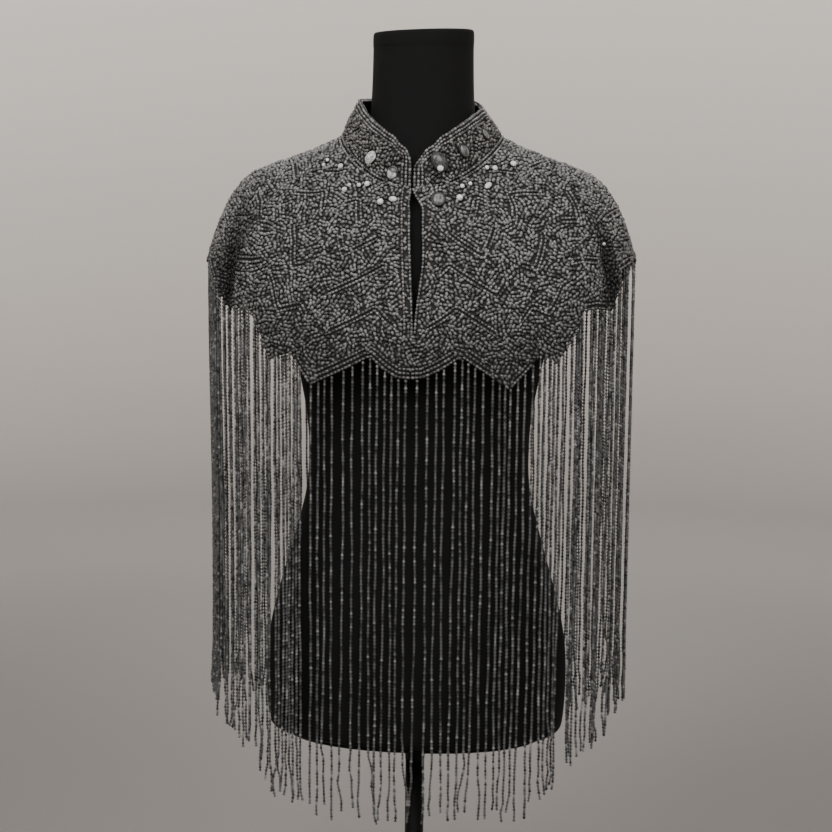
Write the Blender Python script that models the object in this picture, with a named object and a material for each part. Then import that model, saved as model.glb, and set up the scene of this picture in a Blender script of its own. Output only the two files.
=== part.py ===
"""A beaded fringe capelet on a limbless dress form with a short counter stand.

Metres, +Z up.  The front faces -Y and "left" is the -X side, as seen from the front.
The origin is on the surface the stand rests on, under the middle of its base.

The cloth is one surface, worked out by cape_point(angle, reach): angle goes round the
body from 0 at the front to 90 on the right shoulder and 180 at the back, and reach goes
from 0 at the neckline seam to 1 at the hem line.  Panels, bands and stones all use it.
"""
import math
from collections import namedtuple

import bmesh
import bpy
from mathutils import Vector

# ---------------------------------------------------------------- driving dimensions
SEAM_GAP = 0.0003          # between pieces that are sewn or stacked
CLOTH_WALL = 0.0018        # net, backing and the bead embroidery on it
BAND_WALL = 0.0012         # rows of larger beads along an edge
BAND_WIDTH = 0.0095
FRINGE_WALL = 0.0030       # reach of the hanging bead strings, front to back
FRINGE_GAP = 0.0012        # below the hem's cut edge
CAPE_LENGTH = 0.215        # neckline to hem line, along the cloth
SHOULDER_SEAM = 90.0       # degrees round from the front
SHOULDER_GAP = 0.35        # degrees, at the seam
SIDE_FRINGE_SPLIT = 57.0   # where the front fringe meets the side fringe
BACK_FRINGE_SPLIT = 127.0
FRINGE_SPLIT_GAP = 0.30    # degrees, on each side of a split
EDGE_FAN = 3.0             # degrees from the front edge's band to the next column
SLIT_HALF_WIDTH = 0.0060   # the teardrop opening below the collar
SLIT_WIDEST = 0.13         # reach where it is fully open, starts to narrow, and closes
SLIT_NARROWS = 0.36
SLIT_CLOSED = 0.82
EDGE_CLEARANCE = 0.0004    # each front edge to the centre line
COLLAR_EDGE_CLEARANCE = 0.0014
COLLAR_CORNER = 0.011      # radius of the collar's front top corners
COLLAR_BOW = 0.0012        # how far the collar bulges out half way up
STONE_SIDES = 14

POLE_RADIUS = 0.011
POLE_BOTTOM = 0.022
POLE_SIDES = 28
BASE_RADIUS = 0.150
BASE_THICKNESS = 0.012
BASE_UNDER_BEVEL = 0.002
BASE_TOP_BEVEL = 0.004
BASE_SIDES = 48
HUB_RADIUS = 0.030
HUB_BEVEL = 0.006
FITTING_SIDES = 32
FORM_PLATE_THICKNESS = 0.010
FORM_PLATE_INSET = 0.93    # of the form's lowest section
FORM_PLATE_BEVEL = 0.002
SOCKET_RADIUS = 0.024
SOCKET_LENGTH = 0.030
SOCKET_TAPER = 0.012       # height of the cone that grips the pole
SOCKET_BEVEL = 0.003
SOCKET_RIM = 0.006
FORM_SIDES = 40
FORM_ROUNDNESS = 2.15

# Meridians of the cape: half width and height over the shoulder, depth and height at
# the centre front and the centre back.  roundness shapes the plan (2 is an ellipse) and
# sweep says how fast the height changes on the way from the centre to the side.
Ring = namedtuple("Ring", "reach half_width side_z front_depth front_z"
                          " back_depth back_z roundness sweep")
CAPE_RINGS = (
    Ring(0.000, 0.0905, 1.0165, 0.0830, 0.9605, 0.0700, 1.0280, 2.00, 1.60),
    Ring(0.125, 0.1163, 1.0043, 0.0945, 0.9390, 0.0830, 1.0015, 2.02, 1.45),
    Ring(0.250, 0.1429, 0.9940, 0.1045, 0.9165, 0.0945, 0.9745, 2.05, 1.35),
    Ring(0.375, 0.1698, 0.9843, 0.1125, 0.8925, 0.1040, 0.9465, 2.08, 1.30),
    Ring(0.500, 0.1958, 0.9725, 0.1185, 0.8675, 0.1115, 0.9180, 2.10, 1.30),
    Ring(0.625, 0.2153, 0.9518, 0.1235, 0.8420, 0.1175, 0.8890, 2.14, 1.30),
    Ring(0.750, 0.2286, 0.9265, 0.1270, 0.8163, 0.1220, 0.8600, 2.17, 1.30),
    Ring(0.875, 0.2386, 0.8995, 0.1295, 0.7905, 0.1255, 0.8305, 2.20, 1.30),
    Ring(1.000, 0.2468, 0.8720, 0.1310, 0.7645, 0.1280, 0.8010, 2.20, 1.30),
    Ring(1.125, 0.2535, 0.8440, 0.1320, 0.7385, 0.1300, 0.7715, 2.20, 1.30),
)
RING_STEP = 0.125

# Soft folds pressed into the drape: where each one lies at the hem and how far it leans
# towards the shoulder at its top, how deep and how wide it is, and where it starts.
Fold = namedtuple("Fold", "angle lean depth spread start")
FOLDS = (
    Fold(60.0, 9.0, 0.0085, 3.6, 0.46),
    Fold(34.0, -2.0, 0.0020, 6.0, 0.55),
    Fold(14.0, 1.0, 0.0012, 5.0, 0.60),
    Fold(98.0, -3.0, 0.0035, 7.0, 0.50),
    Fold(121.0, -8.0, 0.0075, 4.2, 0.44),
    Fold(149.0, 3.0, 0.0030, 6.0, 0.52),
)

# The hem's scallops and points: how far the cut edge lies below the hem line.  The two
# fronts differ a little, as hand-cut edges do; the back repeats from shoulder to shoulder.
HemPoint = namedtuple("HemPoint", "angle drop")
HEM_FRONT = {
    "left": (
        HemPoint(0.0, 0.0095),
        HemPoint(2.6, 0.0088),
        HemPoint(5.7, 0.0000),
        HemPoint(8.9, -0.0126),
        HemPoint(23.6, 0.0310),
        HemPoint(30.8, 0.0045),
        HemPoint(37.5, 0.0200),
        HemPoint(42.4, -0.0035),
        HemPoint(48.5, -0.0195),
        HemPoint(52.5, -0.0095),
        HemPoint(60.0, 0.0037),
        HemPoint(66.0, -0.0070),
        HemPoint(78.0, -0.0105),
        HemPoint(90.0, -0.0080),
    ),
    "right": (
        HemPoint(0.0, 0.0095),
        HemPoint(2.4, 0.0085),
        HemPoint(6.2, 0.0000),
        HemPoint(11.2, -0.0130),
        HemPoint(22.9, 0.0305),
        HemPoint(32.6, 0.0035),
        HemPoint(37.5, 0.0180),
        HemPoint(46.0, -0.0065),
        HemPoint(48.5, -0.0200),
        HemPoint(54.0, -0.0130),
        HemPoint(62.0, 0.0037),
        HemPoint(66.0, -0.0095),
        HemPoint(70.5, -0.0260),
        HemPoint(78.0, -0.0200),
        HemPoint(90.0, -0.0080),
    ),
}
HEM_BACK = (
    HemPoint(90.0, -0.0080),
    HemPoint(102.0, -0.0130),
    HemPoint(114.0, 0.0030),
    HemPoint(124.0, 0.0040),
    HemPoint(131.0, -0.0160),
    HemPoint(141.5, 0.0150),
    HemPoint(148.5, -0.0030),
    HemPoint(157.0, 0.0260),
    HemPoint(170.0, -0.0125),
    HemPoint(174.0, 0.0000),
    HemPoint(177.0, 0.0080),
    HemPoint(180.0, 0.0095),
)

# How high above the floor the bead strings end.
TipHeight = namedtuple("TipHeight", "angle z")
FRINGE_TIPS = (
    TipHeight(0.0, 0.2575),
    TipHeight(24.0, 0.2600),
    TipHeight(31.0, 0.2660),
    TipHeight(37.0, 0.2820),
    TipHeight(43.0, 0.3160),
    TipHeight(55.0, 0.3290),
    TipHeight(63.0, 0.3360),
    TipHeight(69.0, 0.3640),
    TipHeight(90.0, 0.3760),
    TipHeight(110.0, 0.3680),
    TipHeight(128.0, 0.3420),
    TipHeight(150.0, 0.3080),
    TipHeight(180.0, 0.2960),
)
COLUMN_STEP = 4.2          # widest column of a panel, in degrees
PANEL_ROWS = 11

# The centre front wanders a little to each side of the middle on its way down.
CentrePoint = namedtuple("CentrePoint", "reach x")
CENTRE_FRONT = (
    CentrePoint(0.00, -0.0045),
    CentrePoint(0.16, 0.0015),
    CentrePoint(0.45, 0.0038),
    CentrePoint(0.75, 0.0025),
    CentrePoint(1.00, 0.0000),
)

# The standing collar: its height off the neckline and how far its top leans inwards.
CollarStation = namedtuple("CollarStation", "angle height lean")
COLLAR = (
    CollarStation(0.0, 0.0310, 0.0030),
    CollarStation(10.0, 0.0440, 0.0040),
    CollarStation(20.0, 0.0530, 0.0055),
    CollarStation(32.0, 0.0555, 0.0075),
    CollarStation(48.0, 0.0545, 0.0120),
    CollarStation(64.0, 0.0500, 0.0170),
    CollarStation(90.0, 0.0420, 0.0200),
    CollarStation(135.0, 0.0385, 0.0130),
    CollarStation(180.0, 0.0380, 0.0090),
)
COLLAR_ROWS = 5
COLLAR_COLUMNS = 22        # from the front edge to the centre back

# Sections of the dress form, bottom to top, each a rounded oval.
Section = namedtuple("Section", "z half_width front_depth back_depth")
FORM_SECTIONS = (
    Section(0.3300, 0.1600, 0.0990, 0.1030),
    Section(0.3340, 0.1680, 0.1065, 0.1100),
    Section(0.3430, 0.1725, 0.1100, 0.1135),
    Section(0.3800, 0.1752, 0.1100, 0.1165),
    Section(0.4250, 0.1745, 0.1080, 0.1170),
    Section(0.4620, 0.1690, 0.1040, 0.1150),
    Section(0.5000, 0.1595, 0.0985, 0.1095),
    Section(0.5370, 0.1490, 0.0925, 0.1030),
    Section(0.5750, 0.1385, 0.0875, 0.0935),
    Section(0.6160, 0.1292, 0.0840, 0.0855),
    Section(0.6600, 0.1270, 0.0835, 0.0825),
    Section(0.7000, 0.1298, 0.0870, 0.0845),
    Section(0.7400, 0.1370, 0.0950, 0.0890),
    Section(0.7800, 0.1450, 0.1050, 0.0945),
    Section(0.8200, 0.1520, 0.1120, 0.1000),
    Section(0.8600, 0.1590, 0.1085, 0.1035),
    Section(0.9000, 0.1690, 0.0980, 0.1035),
    Section(0.9250, 0.1765, 0.0880, 0.0990),
    Section(0.9450, 0.1795, 0.0775, 0.0930),
    Section(0.9580, 0.1750, 0.0705, 0.0870),
    Section(0.9680, 0.1560, 0.0650, 0.0800),
    Section(0.9780, 0.1290, 0.0620, 0.0730),
    Section(0.9880, 0.1000, 0.0600, 0.0675),
    Section(0.9980, 0.0820, 0.0585, 0.0635),
    Section(1.0100, 0.0710, 0.0575, 0.0605),
    Section(1.0250, 0.0640, 0.0565, 0.0580),
    Section(1.0450, 0.0590, 0.0555, 0.0560),
    Section(1.0800, 0.0572, 0.0545, 0.0545),
    Section(1.1165, 0.0565, 0.0540, 0.0540),
)

# The cap on the neck: its outline from bottom to top, as shares of the neck's section.
CapStep = namedtuple("CapStep", "z scale")
NECK_CAP = (
    CapStep(1.1170, 0.990),
    CapStep(1.1190, 1.005),
    CapStep(1.1275, 1.005),
    CapStep(1.1312, 0.985),
    CapStep(1.1330, 0.930),
)

# Larger stones sewn to the collar and the yoke: on which surface, where, their size,
# their turn about the surface and how far they stand up.
Stone = namedtuple("Stone", "name on angle reach width height turn rise")
STONES = (
    Stone("stone_left_collar_upper", "collar", -35.8, 0.30, 0.0120, 0.0165, -20.0, 0.0030),
    Stone("stone_left_collar_front", "collar", -17.2, 0.26, 0.0130, 0.0185, 5.0, 0.0034),
    Stone("stone_right_collar_front", "collar", 16.2, 0.50, 0.0170, 0.0235, 0.0, 0.0042),
    Stone("stone_right_collar_middle", "collar", 35.4, 0.46, 0.0115, 0.0170, 8.0, 0.0030),
    Stone("stone_right_collar_side", "collar", 60.0, 0.42, 0.0120, 0.0170, 8.0, 0.0030),
    Stone("stone_right_yoke", "cape", 13.2, 0.085, 0.0165, 0.0165, 0.0, 0.0040),
)

# A stone's outline from its girdle to its top: shares of its width and of its rise.
DomeStep = namedtuple("DomeStep", "spread rise")
STONE_DOME = (
    DomeStep(1.00, 0.00),
    DomeStep(1.00, 0.25),
    DomeStep(0.86, 0.62),
    DomeStep(0.55, 0.92),
    DomeStep(0.20, 1.00),
)

# name: (colour, roughness, metallic)
FINISHES = {
    "bead_cloth": ((0.115, 0.113, 0.108), 0.45, 0.25),
    "bead_band": ((0.230, 0.226, 0.215), 0.35, 0.35),
    "bead_fringe": ((0.105, 0.103, 0.098), 0.35, 0.30),
    "crystal": ((0.800, 0.810, 0.800), 0.08, 0.00),
    "form_jersey": ((0.012, 0.012, 0.013), 0.85, 0.00),
    "stand_metal": ((0.015, 0.015, 0.016), 0.38, 0.80),
}


# ------------------------------------------------------------------ numbers and curves
def smooth_step(value):
    value = min(1.0, max(0.0, value))
    return value * value * (3.0 - 2.0 * value)


def power(value, exponent):
    """A signed power, for superellipses."""
    return math.copysign(abs(value) ** exponent, value)


def curve_through(values, at):
    """A smooth curve through evenly spaced values; at counts in steps of the list."""
    last = len(values) - 1
    index = min(last - 1, max(0, int(math.floor(at))))
    t = at - index
    b, c = values[index], values[index + 1]
    a = values[index - 1] if index > 0 else 2.0 * b - c
    d = values[index + 2] if index + 2 <= last else 2.0 * c - b
    return b + 0.5 * t * (c - a + t * (2 * a - 5 * b + 4 * c - d + t * (3 * (b - c) + d - a)))


def table_value(rows, key, at, column, ease=False):
    """A column's value between two rows of a table, in straight or eased steps."""
    for low, high in zip(rows, rows[1:]):
        start, end = getattr(low, key), getattr(high, key)
        if at <= end:
            share = (at - start) / (end - start)
            share = smooth_step(share) if ease else max(0.0, share)
            return getattr(low, column) * (1.0 - share) + getattr(high, column) * share
    return getattr(rows[-1], column)


# ------------------------------------------------------------------ the cape's surface
def ring_at(reach):
    at = reach / RING_STEP
    return Ring(reach, *(curve_through([ring[column] for ring in CAPE_RINGS], at)
                         for column in range(1, len(Ring._fields))))


def ring_point(ring, angle):
    """A point of one smooth ring, before folds."""
    sine = math.sin(math.radians(angle))
    cosine = math.cos(math.radians(angle))
    exponent = 2.0 / ring.roundness
    front = cosine >= 0.0
    depth = ring.front_depth if front else ring.back_depth
    end_z = ring.front_z if front else ring.back_z
    share = abs(cosine) ** ring.sweep
    return Vector((ring.half_width * power(sine, exponent),
                   -depth * power(cosine, exponent),
                   ring.side_z + (end_z - ring.side_z) * share))


def fold_depth(angle, reach):
    depth = 0.0
    for fold in FOLDS:
        down = smooth_step((reach - fold.start) / (1.0 - fold.start))
        middle = fold.angle + fold.lean * (1.0 - reach) / (1.0 - fold.start)
        away = (abs(angle) - middle) / fold.spread
        depth += fold.depth * down * math.exp(-away * away)
    return depth


def cape_point(angle, reach):
    """A point of the cape's outer surface: the smooth ring, pressed in by the folds."""
    ring = ring_at(reach)
    point = ring_point(ring, angle)
    depth = fold_depth(angle, reach)
    if depth > 1e-6:
        inward = Vector((-point.x / ring.half_width ** 2, -point.y / ring.front_depth ** 2, 0.0))
        point += inward.normalized() * depth
    return point


def cape_normal(angle, reach):
    step_angle, step_reach = 0.6, 0.004
    low = max(0.0, reach - step_reach)
    around = cape_point(angle + step_angle, reach) - cape_point(angle - step_angle, reach)
    down = cape_point(angle, reach + step_reach) - cape_point(angle, low)
    return down.cross(around).normalized()


def hem_table(angle):
    """The rows that hold the hem at an angle; negative angles are on the left."""
    if abs(angle) > SHOULDER_SEAM:
        return HEM_BACK
    return HEM_FRONT["left" if angle < 0.0 else "right"]


def hem_reach(angle):
    drop = table_value(hem_table(angle), "angle", abs(angle), "drop")
    return 1.0 + drop / CAPE_LENGTH


def angle_at_x(x, reach):
    """The angle, near the centre front, where the ring at this reach is at x."""
    ring = ring_at(reach)
    return math.degrees(math.asin(power(x / ring.half_width, ring.roundness / 2.0)))


def centre_x(reach):
    return table_value(CENTRE_FRONT, "reach", reach, "x", ease=True)


def slit_half_width(reach):
    """Half the opening below the collar: it widens fast, then closes slowly."""
    opening = smooth_step(reach / SLIT_WIDEST)
    closing = 1.0 - smooth_step((reach - SLIT_NARROWS) / (SLIT_CLOSED - SLIT_NARROWS))
    return SLIT_HALF_WIDTH * opening * closing


def front_edge_x(side, reach):
    """How far a front's edge is out from the middle, on its own side."""
    return side * centre_x(reach) + EDGE_CLEARANCE + slit_half_width(reach)


# ------------------------------------------------------------------- the collar's surface
def collar_value(angle, column):
    return table_value(COLLAR, "angle", min(180.0, abs(angle)), column, ease=True)


def collar_point(angle, share):
    """A point of the collar's outer surface, from its foot (0) to its top edge (1)."""
    foot = cape_point(angle, 0.0)
    height = collar_value(angle, "height")
    lean = collar_value(angle, "lean")
    outward = Vector((foot.x, foot.y, 0.0)).normalized()
    bow = COLLAR_BOW * math.sin(math.pi * share)
    lift = Vector((0.0, 0.0, SEAM_GAP + height * share))
    return foot + lift - outward * (lean * share - bow)


def collar_normal(angle, share):
    step_angle, step_share = 0.8, 0.02
    low, high = max(0.0, share - step_share), min(1.0, share + step_share)
    around = collar_point(angle + step_angle, share) - collar_point(angle - step_angle, share)
    upward = collar_point(angle, high) - collar_point(angle, low)
    return around.cross(upward).normalized()


def collar_top_share(from_edge):
    """How far up the collar goes near its front edge, where its corner is rounded off."""
    inside = min(COLLAR_CORNER, COLLAR_CORNER - from_edge)
    if inside <= 0.0:
        return 1.0
    height = COLLAR[0].height
    return 1.0 - (COLLAR_CORNER - math.sqrt(COLLAR_CORNER ** 2 - inside ** 2)) / height


# --------------------------------------------------------------------------- mesh tools
def clear_scene():
    for thing in list(bpy.data.objects):
        bpy.data.objects.remove(thing)


def finish_material(slot):
    material = bpy.data.materials.get(slot)
    if material is None:
        material = bpy.data.materials.new(slot)
        material.use_nodes = True
        colour, roughness, metallic = FINISHES[slot]
        shader = material.node_tree.nodes["Principled BSDF"]
        shader.inputs["Base Color"].default_value = (*colour, 1.0)
        shader.inputs["Roughness"].default_value = roughness
        shader.inputs["Metallic"].default_value = metallic
    return material


def add_object(name, builder, slot, smooth_angle=40.0):
    mesh = bpy.data.meshes.new(name)
    bmesh.ops.recalc_face_normals(builder, faces=builder.faces)
    builder.to_mesh(mesh)
    builder.free()
    mesh.shade_smooth()
    mesh.set_sharp_from_angle(angle=math.radians(smooth_angle))
    thing = bpy.data.objects.new(name, mesh)
    mesh.materials.append(finish_material(slot))
    bpy.context.scene.collection.objects.link(thing)
    return thing


def wall_from_grids(name, outer, inner, slot):
    """A closed wall between two grids of points with the same rows and columns."""
    builder = bmesh.new()
    outside = [[builder.verts.new(point) for point in row] for row in outer]
    inside = [[builder.verts.new(point) for point in row] for row in inner]
    rows, columns = len(outer), len(outer[0])
    for grid in (outside, inside):
        for i in range(rows - 1):
            for j in range(columns - 1):
                builder.faces.new((grid[i][j], grid[i][j + 1], grid[i + 1][j + 1], grid[i + 1][j]))
    border = [(0, j) for j in range(columns)]
    border += [(i, columns - 1) for i in range(1, rows)]
    border += [(rows - 1, j) for j in range(columns - 2, -1, -1)]
    border += [(i, 0) for i in range(rows - 2, 0, -1)]
    for here, there in zip(border, border[1:] + border[:1]):
        builder.faces.new((outside[here[0]][here[1]], outside[there[0]][there[1]],
                           inside[there[0]][there[1]], inside[here[0]][here[1]]))
    return add_object(name, builder, slot)


def stacked_sections(name, sections, slot, smooth_angle=40.0):
    """A solid skinned over closed sections of equal point counts, capped at both ends."""
    builder = bmesh.new()
    loops = [[builder.verts.new(point) for point in section] for section in sections]
    count = len(loops[0])
    for low, high in zip(loops, loops[1:]):
        for i in range(count):
            j = (i + 1) % count
            builder.faces.new((low[i], low[j], high[j], high[i]))
    builder.faces.new(loops[0])
    builder.faces.new(loops[-1])
    return add_object(name, builder, slot, smooth_angle)


def circle(radius, z, sides):
    turn = 2.0 * math.pi / sides
    return [Vector((radius * math.cos(i * turn), radius * math.sin(i * turn), z))
            for i in range(sides)]


def oval(section, scale=1.0, z=None):
    points = []
    exponent = 2.0 / FORM_ROUNDNESS
    for i in range(FORM_SIDES):
        turn = 2.0 * math.pi * i / FORM_SIDES
        depth = section.front_depth if math.cos(turn) >= 0.0 else section.back_depth
        points.append(Vector((scale * section.half_width * power(math.sin(turn), exponent),
                              -scale * depth * power(math.cos(turn), exponent),
                              section.z if z is None else z)))
    return points


# ----------------------------------------------------------------------- the capelet
def hem_angles(start, end, side=1):
    """Column angles between two angles, with every corner of the hem among them."""
    rows = HEM_FRONT["left" if side < 0 else "right"] + HEM_BACK
    corners = sorted({row.angle for row in rows if start < row.angle < end})
    stops = [start] + corners + [end]
    angles = []
    for low, high in zip(stops, stops[1:]):
        steps = max(1, math.ceil((high - low) / COLUMN_STEP))
        angles += [low + (high - low) * step / steps for step in range(steps)]
    return angles + [end]


def panel_reaches(hem, rows=PANEL_ROWS):
    """Rows from the neckline to the cut edge; the last one is the hem band's width."""
    band = BAND_WIDTH / CAPE_LENGTH
    body = [(hem - band) * row / (rows - 1) for row in range(rows)]
    return body + [hem]


def front_panel_stations(side):
    """(angle, reach) of a front panel's points, row by row, from the slit to the seam.

    The first two columns are the front edge and the inner line of its band, and the
    others spread from there to the shoulder seam.
    """
    seam = SHOULDER_SEAM - SHOULDER_GAP
    columns = [angle for angle in hem_angles(0.0, SHOULDER_SEAM, side) if angle > 2.0 * EDGE_FAN]
    stations = []
    for row in range(PANEL_ROWS + 1):
        edge_reach = panel_reaches(hem_reach(0.0))[row]
        edge_x = front_edge_x(side, edge_reach)
        edge = angle_at_x(edge_x, edge_reach)
        band = angle_at_x(edge_x + BAND_WIDTH, edge_reach)
        shift = max(0.0, band + EDGE_FAN - columns[0])
        spread = [min(seam, angle + shift * (SHOULDER_SEAM - angle) / SHOULDER_SEAM)
                  for angle in columns]
        line = [(side * edge, edge_reach)]
        line += [(side * angle, panel_reaches(hem_reach(side * angle))[row])
                 for angle in [band] + spread]
        stations.append(line)
    return stations


def back_panel_stations():
    """As a front panel's, from the right shoulder round the centre back to the left."""
    quarter = hem_angles(SHOULDER_SEAM, 180.0)
    angles = quarter + [360.0 - angle for angle in reversed(quarter[:-1])]
    return [[(angle, panel_reaches(hem_reach(half_turn(angle)))[row]) for angle in angles]
            for row in range(PANEL_ROWS + 1)]


def half_turn(angle):
    """An angle up to 360, as one between -180 and 180."""
    return angle - 360.0 if angle > 180.0 else angle


def surface(angle, reach, lift):
    """A point of the cape, moved out along its normal by lift."""
    angle = half_turn(angle)
    point = cape_point(abs(angle), reach) + cape_normal(abs(angle), reach) * lift
    point.x = math.copysign(point.x, angle)
    return point


def lifted(stations, lift):
    return [[surface(angle, reach, lift) for angle, reach in line] for line in stations]


def make_panel(name, stations):
    return wall_from_grids(name, lifted(stations, 0.0), lifted(stations, -CLOTH_WALL),
                           "bead_cloth")


def make_band(name, stations):
    return wall_from_grids(name, lifted(stations, SEAM_GAP + BAND_WALL),
                           lifted(stations, SEAM_GAP), "bead_band")


def make_capelet():
    for side, word in ((-1, "left"), (1, "right")):
        stations = front_panel_stations(side)
        make_panel(f"capelet_front_{word}", stations)
        hem_rows = [line[1:] for line in stations[-2:]]
        make_band(f"hem_band_front_{word}", hem_rows)
        make_band(f"edge_band_{word}", inset_edge(stations))
    stations = back_panel_stations()
    make_panel("capelet_back", stations)
    make_band("hem_band_back", stations[-2:])


def inset_edge(stations):
    """The slit edge's two columns, with the second drawn back so that bands don't touch."""
    rows = []
    for line in stations:
        (edge, edge_reach), (band, band_reach) = line[:2]
        share = 1.0 - 2.0 * SEAM_GAP / BAND_WIDTH
        rows.append([(edge, edge_reach),
                     (edge + (band - edge) * share, edge_reach + (band_reach - edge_reach) * share)])
    return rows


def collar_half(side):
    """(angle, distance from the front edge) from one front edge to the centre back."""
    edge_x = side * centre_x(0.0) + COLLAR_EDGE_CLEARANCE
    steps = [COLLAR_CORNER * share for share in (0.0, 0.12, 0.35, 0.65, 1.0)]
    half = [(angle_at_x(edge_x + step, 0.0), step) for step in steps]
    start = half[-1][0]
    half += [(start + (180.0 - start) * (i + 1) / COLLAR_COLUMNS, COLLAR_CORNER)
             for i in range(COLLAR_COLUMNS)]
    return [(side * angle, from_edge) for angle, from_edge in half]


def collar_grid(lift, shares):
    columns = collar_half(1) + list(reversed(collar_half(-1)[:-1]))
    grid = []
    for share in shares:
        line = []
        for angle, from_edge in columns:
            height = share * collar_top_share(from_edge)
            point = collar_point(abs(angle), height) + collar_normal(abs(angle), height) * lift
            point.x = math.copysign(1.0, angle) * point.x
            line.append(point)
        grid.append(line)
    return grid


def make_collar():
    shares = [row / COLLAR_ROWS for row in range(COLLAR_ROWS)] + [1.0]
    wall_from_grids("collar", collar_grid(0.0, shares), collar_grid(-CLOTH_WALL, shares),
                    "bead_cloth")
    top = shares[-2:]
    wall_from_grids("collar_edge_band", collar_grid(SEAM_GAP + BAND_WALL, top),
                    collar_grid(SEAM_GAP, top), "bead_band")


# ------------------------------------------------------------------------- the fringe
def fringe_wall(name, angles):
    """The reach of the hanging strings: straight down from the hem's cut edge."""
    outer, inner = [], []
    for share in (0.0, 0.5, 1.0):
        outside, inside = [], []
        for angle in angles:
            reach = hem_reach(half_turn(angle))
            middle = surface(angle, reach, -0.5 * CLOTH_WALL)
            normal = surface(angle, reach, 1.0) - surface(angle, reach, 0.0)
            normal.z = 0.0
            normal.normalize()
            top = middle.z - FRINGE_GAP
            tips = table_value(FRINGE_TIPS, "angle", abs(half_turn(angle)), "z")
            middle.z = top + (tips - top) * share
            outside.append(middle + normal * FRINGE_WALL * 0.5)
            inside.append(middle - normal * FRINGE_WALL * 0.5)
        outer.append(outside)
        inner.append(inside)
    return wall_from_grids(name, outer, inner, "bead_fringe")


def make_fringe():
    spans = {
        "front": (FRINGE_SPLIT_GAP, SIDE_FRINGE_SPLIT - FRINGE_SPLIT_GAP),
        "side": (SIDE_FRINGE_SPLIT + FRINGE_SPLIT_GAP, BACK_FRINGE_SPLIT - FRINGE_SPLIT_GAP),
        "back": (BACK_FRINGE_SPLIT + FRINGE_SPLIT_GAP, 180.0 - FRINGE_SPLIT_GAP),
    }
    for place, (start, end) in spans.items():
        fringe_wall(f"fringe_{place}_right", hem_angles(start, end))
        fringe_wall(f"fringe_{place}_left",
                    [360.0 - angle for angle in hem_angles(start, end, -1)])


# ------------------------------------------------------------------------- the stones
def stone_frame(stone):
    """The surface function and its sizes for the cloth that the stone is sewn to."""
    if stone.on == "collar":
        height = collar_value(stone.angle, "height")
        return collar_point, collar_normal, 1.0 / height
    return cape_point, cape_normal, -1.0 / CAPE_LENGTH


def make_stone(stone):
    """An oval dome whose underside follows the cloth, just clear of it."""
    point_at, normal_at, per_metre_up = stone_frame(stone)
    angle = abs(stone.angle)
    side = math.copysign(1.0, stone.angle)
    centre = point_at(angle, stone.reach)
    degree = (point_at(angle + 0.5, stone.reach) - point_at(angle - 0.5, stone.reach)).length
    turn = math.radians(stone.turn)
    rings = []
    for step in STONE_DOME:
        ring = []
        for i in range(STONE_SIDES):
            around = 2.0 * math.pi * i / STONE_SIDES
            u = 0.5 * stone.width * step.spread * math.cos(around)
            v = 0.5 * stone.height * step.spread * math.sin(around)
            across = u * math.cos(turn) - v * math.sin(turn)
            upward = u * math.sin(turn) + v * math.cos(turn)
            at_angle = angle + side * across / degree
            at_reach = stone.reach + upward * per_metre_up
            point = point_at(at_angle, at_reach)
            lift = 2.0 * SEAM_GAP + stone.rise * step.rise
            point = point + normal_at(at_angle, at_reach) * lift
            ring.append(Vector((side * point.x, point.y, point.z)))
        rings.append(ring)
    return stacked_sections(stone.name, rings, "crystal")


# ----------------------------------------------------------------- the form and its stand
def make_form():
    stacked_sections("form_torso", [oval(section) for section in FORM_SECTIONS], "form_jersey",
                     60.0)
    top = FORM_SECTIONS[-1]
    stacked_sections("form_neck_cap", [oval(top, step.scale, step.z) for step in NECK_CAP],
                     "form_jersey", 60.0)
    bottom = FORM_SECTIONS[0]
    plate_top = bottom.z - SEAM_GAP
    plate_low = plate_top - FORM_PLATE_THICKNESS
    bevelled = FORM_PLATE_INSET - FORM_PLATE_BEVEL / bottom.half_width
    plate = [oval(bottom, bevelled, plate_low),
             oval(bottom, FORM_PLATE_INSET, plate_low + FORM_PLATE_BEVEL),
             oval(bottom, FORM_PLATE_INSET, plate_top)]
    stacked_sections("form_bottom_plate", plate, "stand_metal")
    return plate_low


def turned(name, profile, slot, sides):
    return stacked_sections(name, [circle(radius, z, sides) for radius, z in profile], slot)


def make_stand(plate_low):
    base = ((BASE_RADIUS - BASE_UNDER_BEVEL, 0.0), (BASE_RADIUS, BASE_UNDER_BEVEL),
            (BASE_RADIUS, BASE_THICKNESS - BASE_TOP_BEVEL),
            (BASE_RADIUS - BASE_TOP_BEVEL, BASE_THICKNESS))
    turned("base_disc", base, "stand_metal", BASE_SIDES)
    hub = ((HUB_RADIUS, BASE_THICKNESS + SEAM_GAP), (HUB_RADIUS, POLE_BOTTOM - HUB_BEVEL),
           (HUB_RADIUS - HUB_BEVEL, POLE_BOTTOM))
    turned("base_hub", hub, "stand_metal", FITTING_SIDES)
    socket_top = plate_low - SEAM_GAP
    socket_low = socket_top - SOCKET_LENGTH
    socket = ((POLE_RADIUS + SOCKET_BEVEL, socket_low),
              (SOCKET_RADIUS - SOCKET_BEVEL, socket_low + SOCKET_TAPER),
              (SOCKET_RADIUS, socket_top - SOCKET_RIM), (SOCKET_RADIUS, socket_top))
    turned("pole_socket", socket, "stand_metal", FITTING_SIDES)
    pole = ((POLE_RADIUS, POLE_BOTTOM + SEAM_GAP), (POLE_RADIUS, socket_low - SEAM_GAP))
    turned("pole", pole, "stand_metal", POLE_SIDES)


def main():
    clear_scene()
    make_capelet()
    make_collar()
    make_fringe()
    for stone in STONES:
        make_stone(stone)
    make_stand(make_form())


main()
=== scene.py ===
import math
from collections import namedtuple

import bmesh
import bpy
import numpy as np
from mathutils import Matrix, Vector


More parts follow.
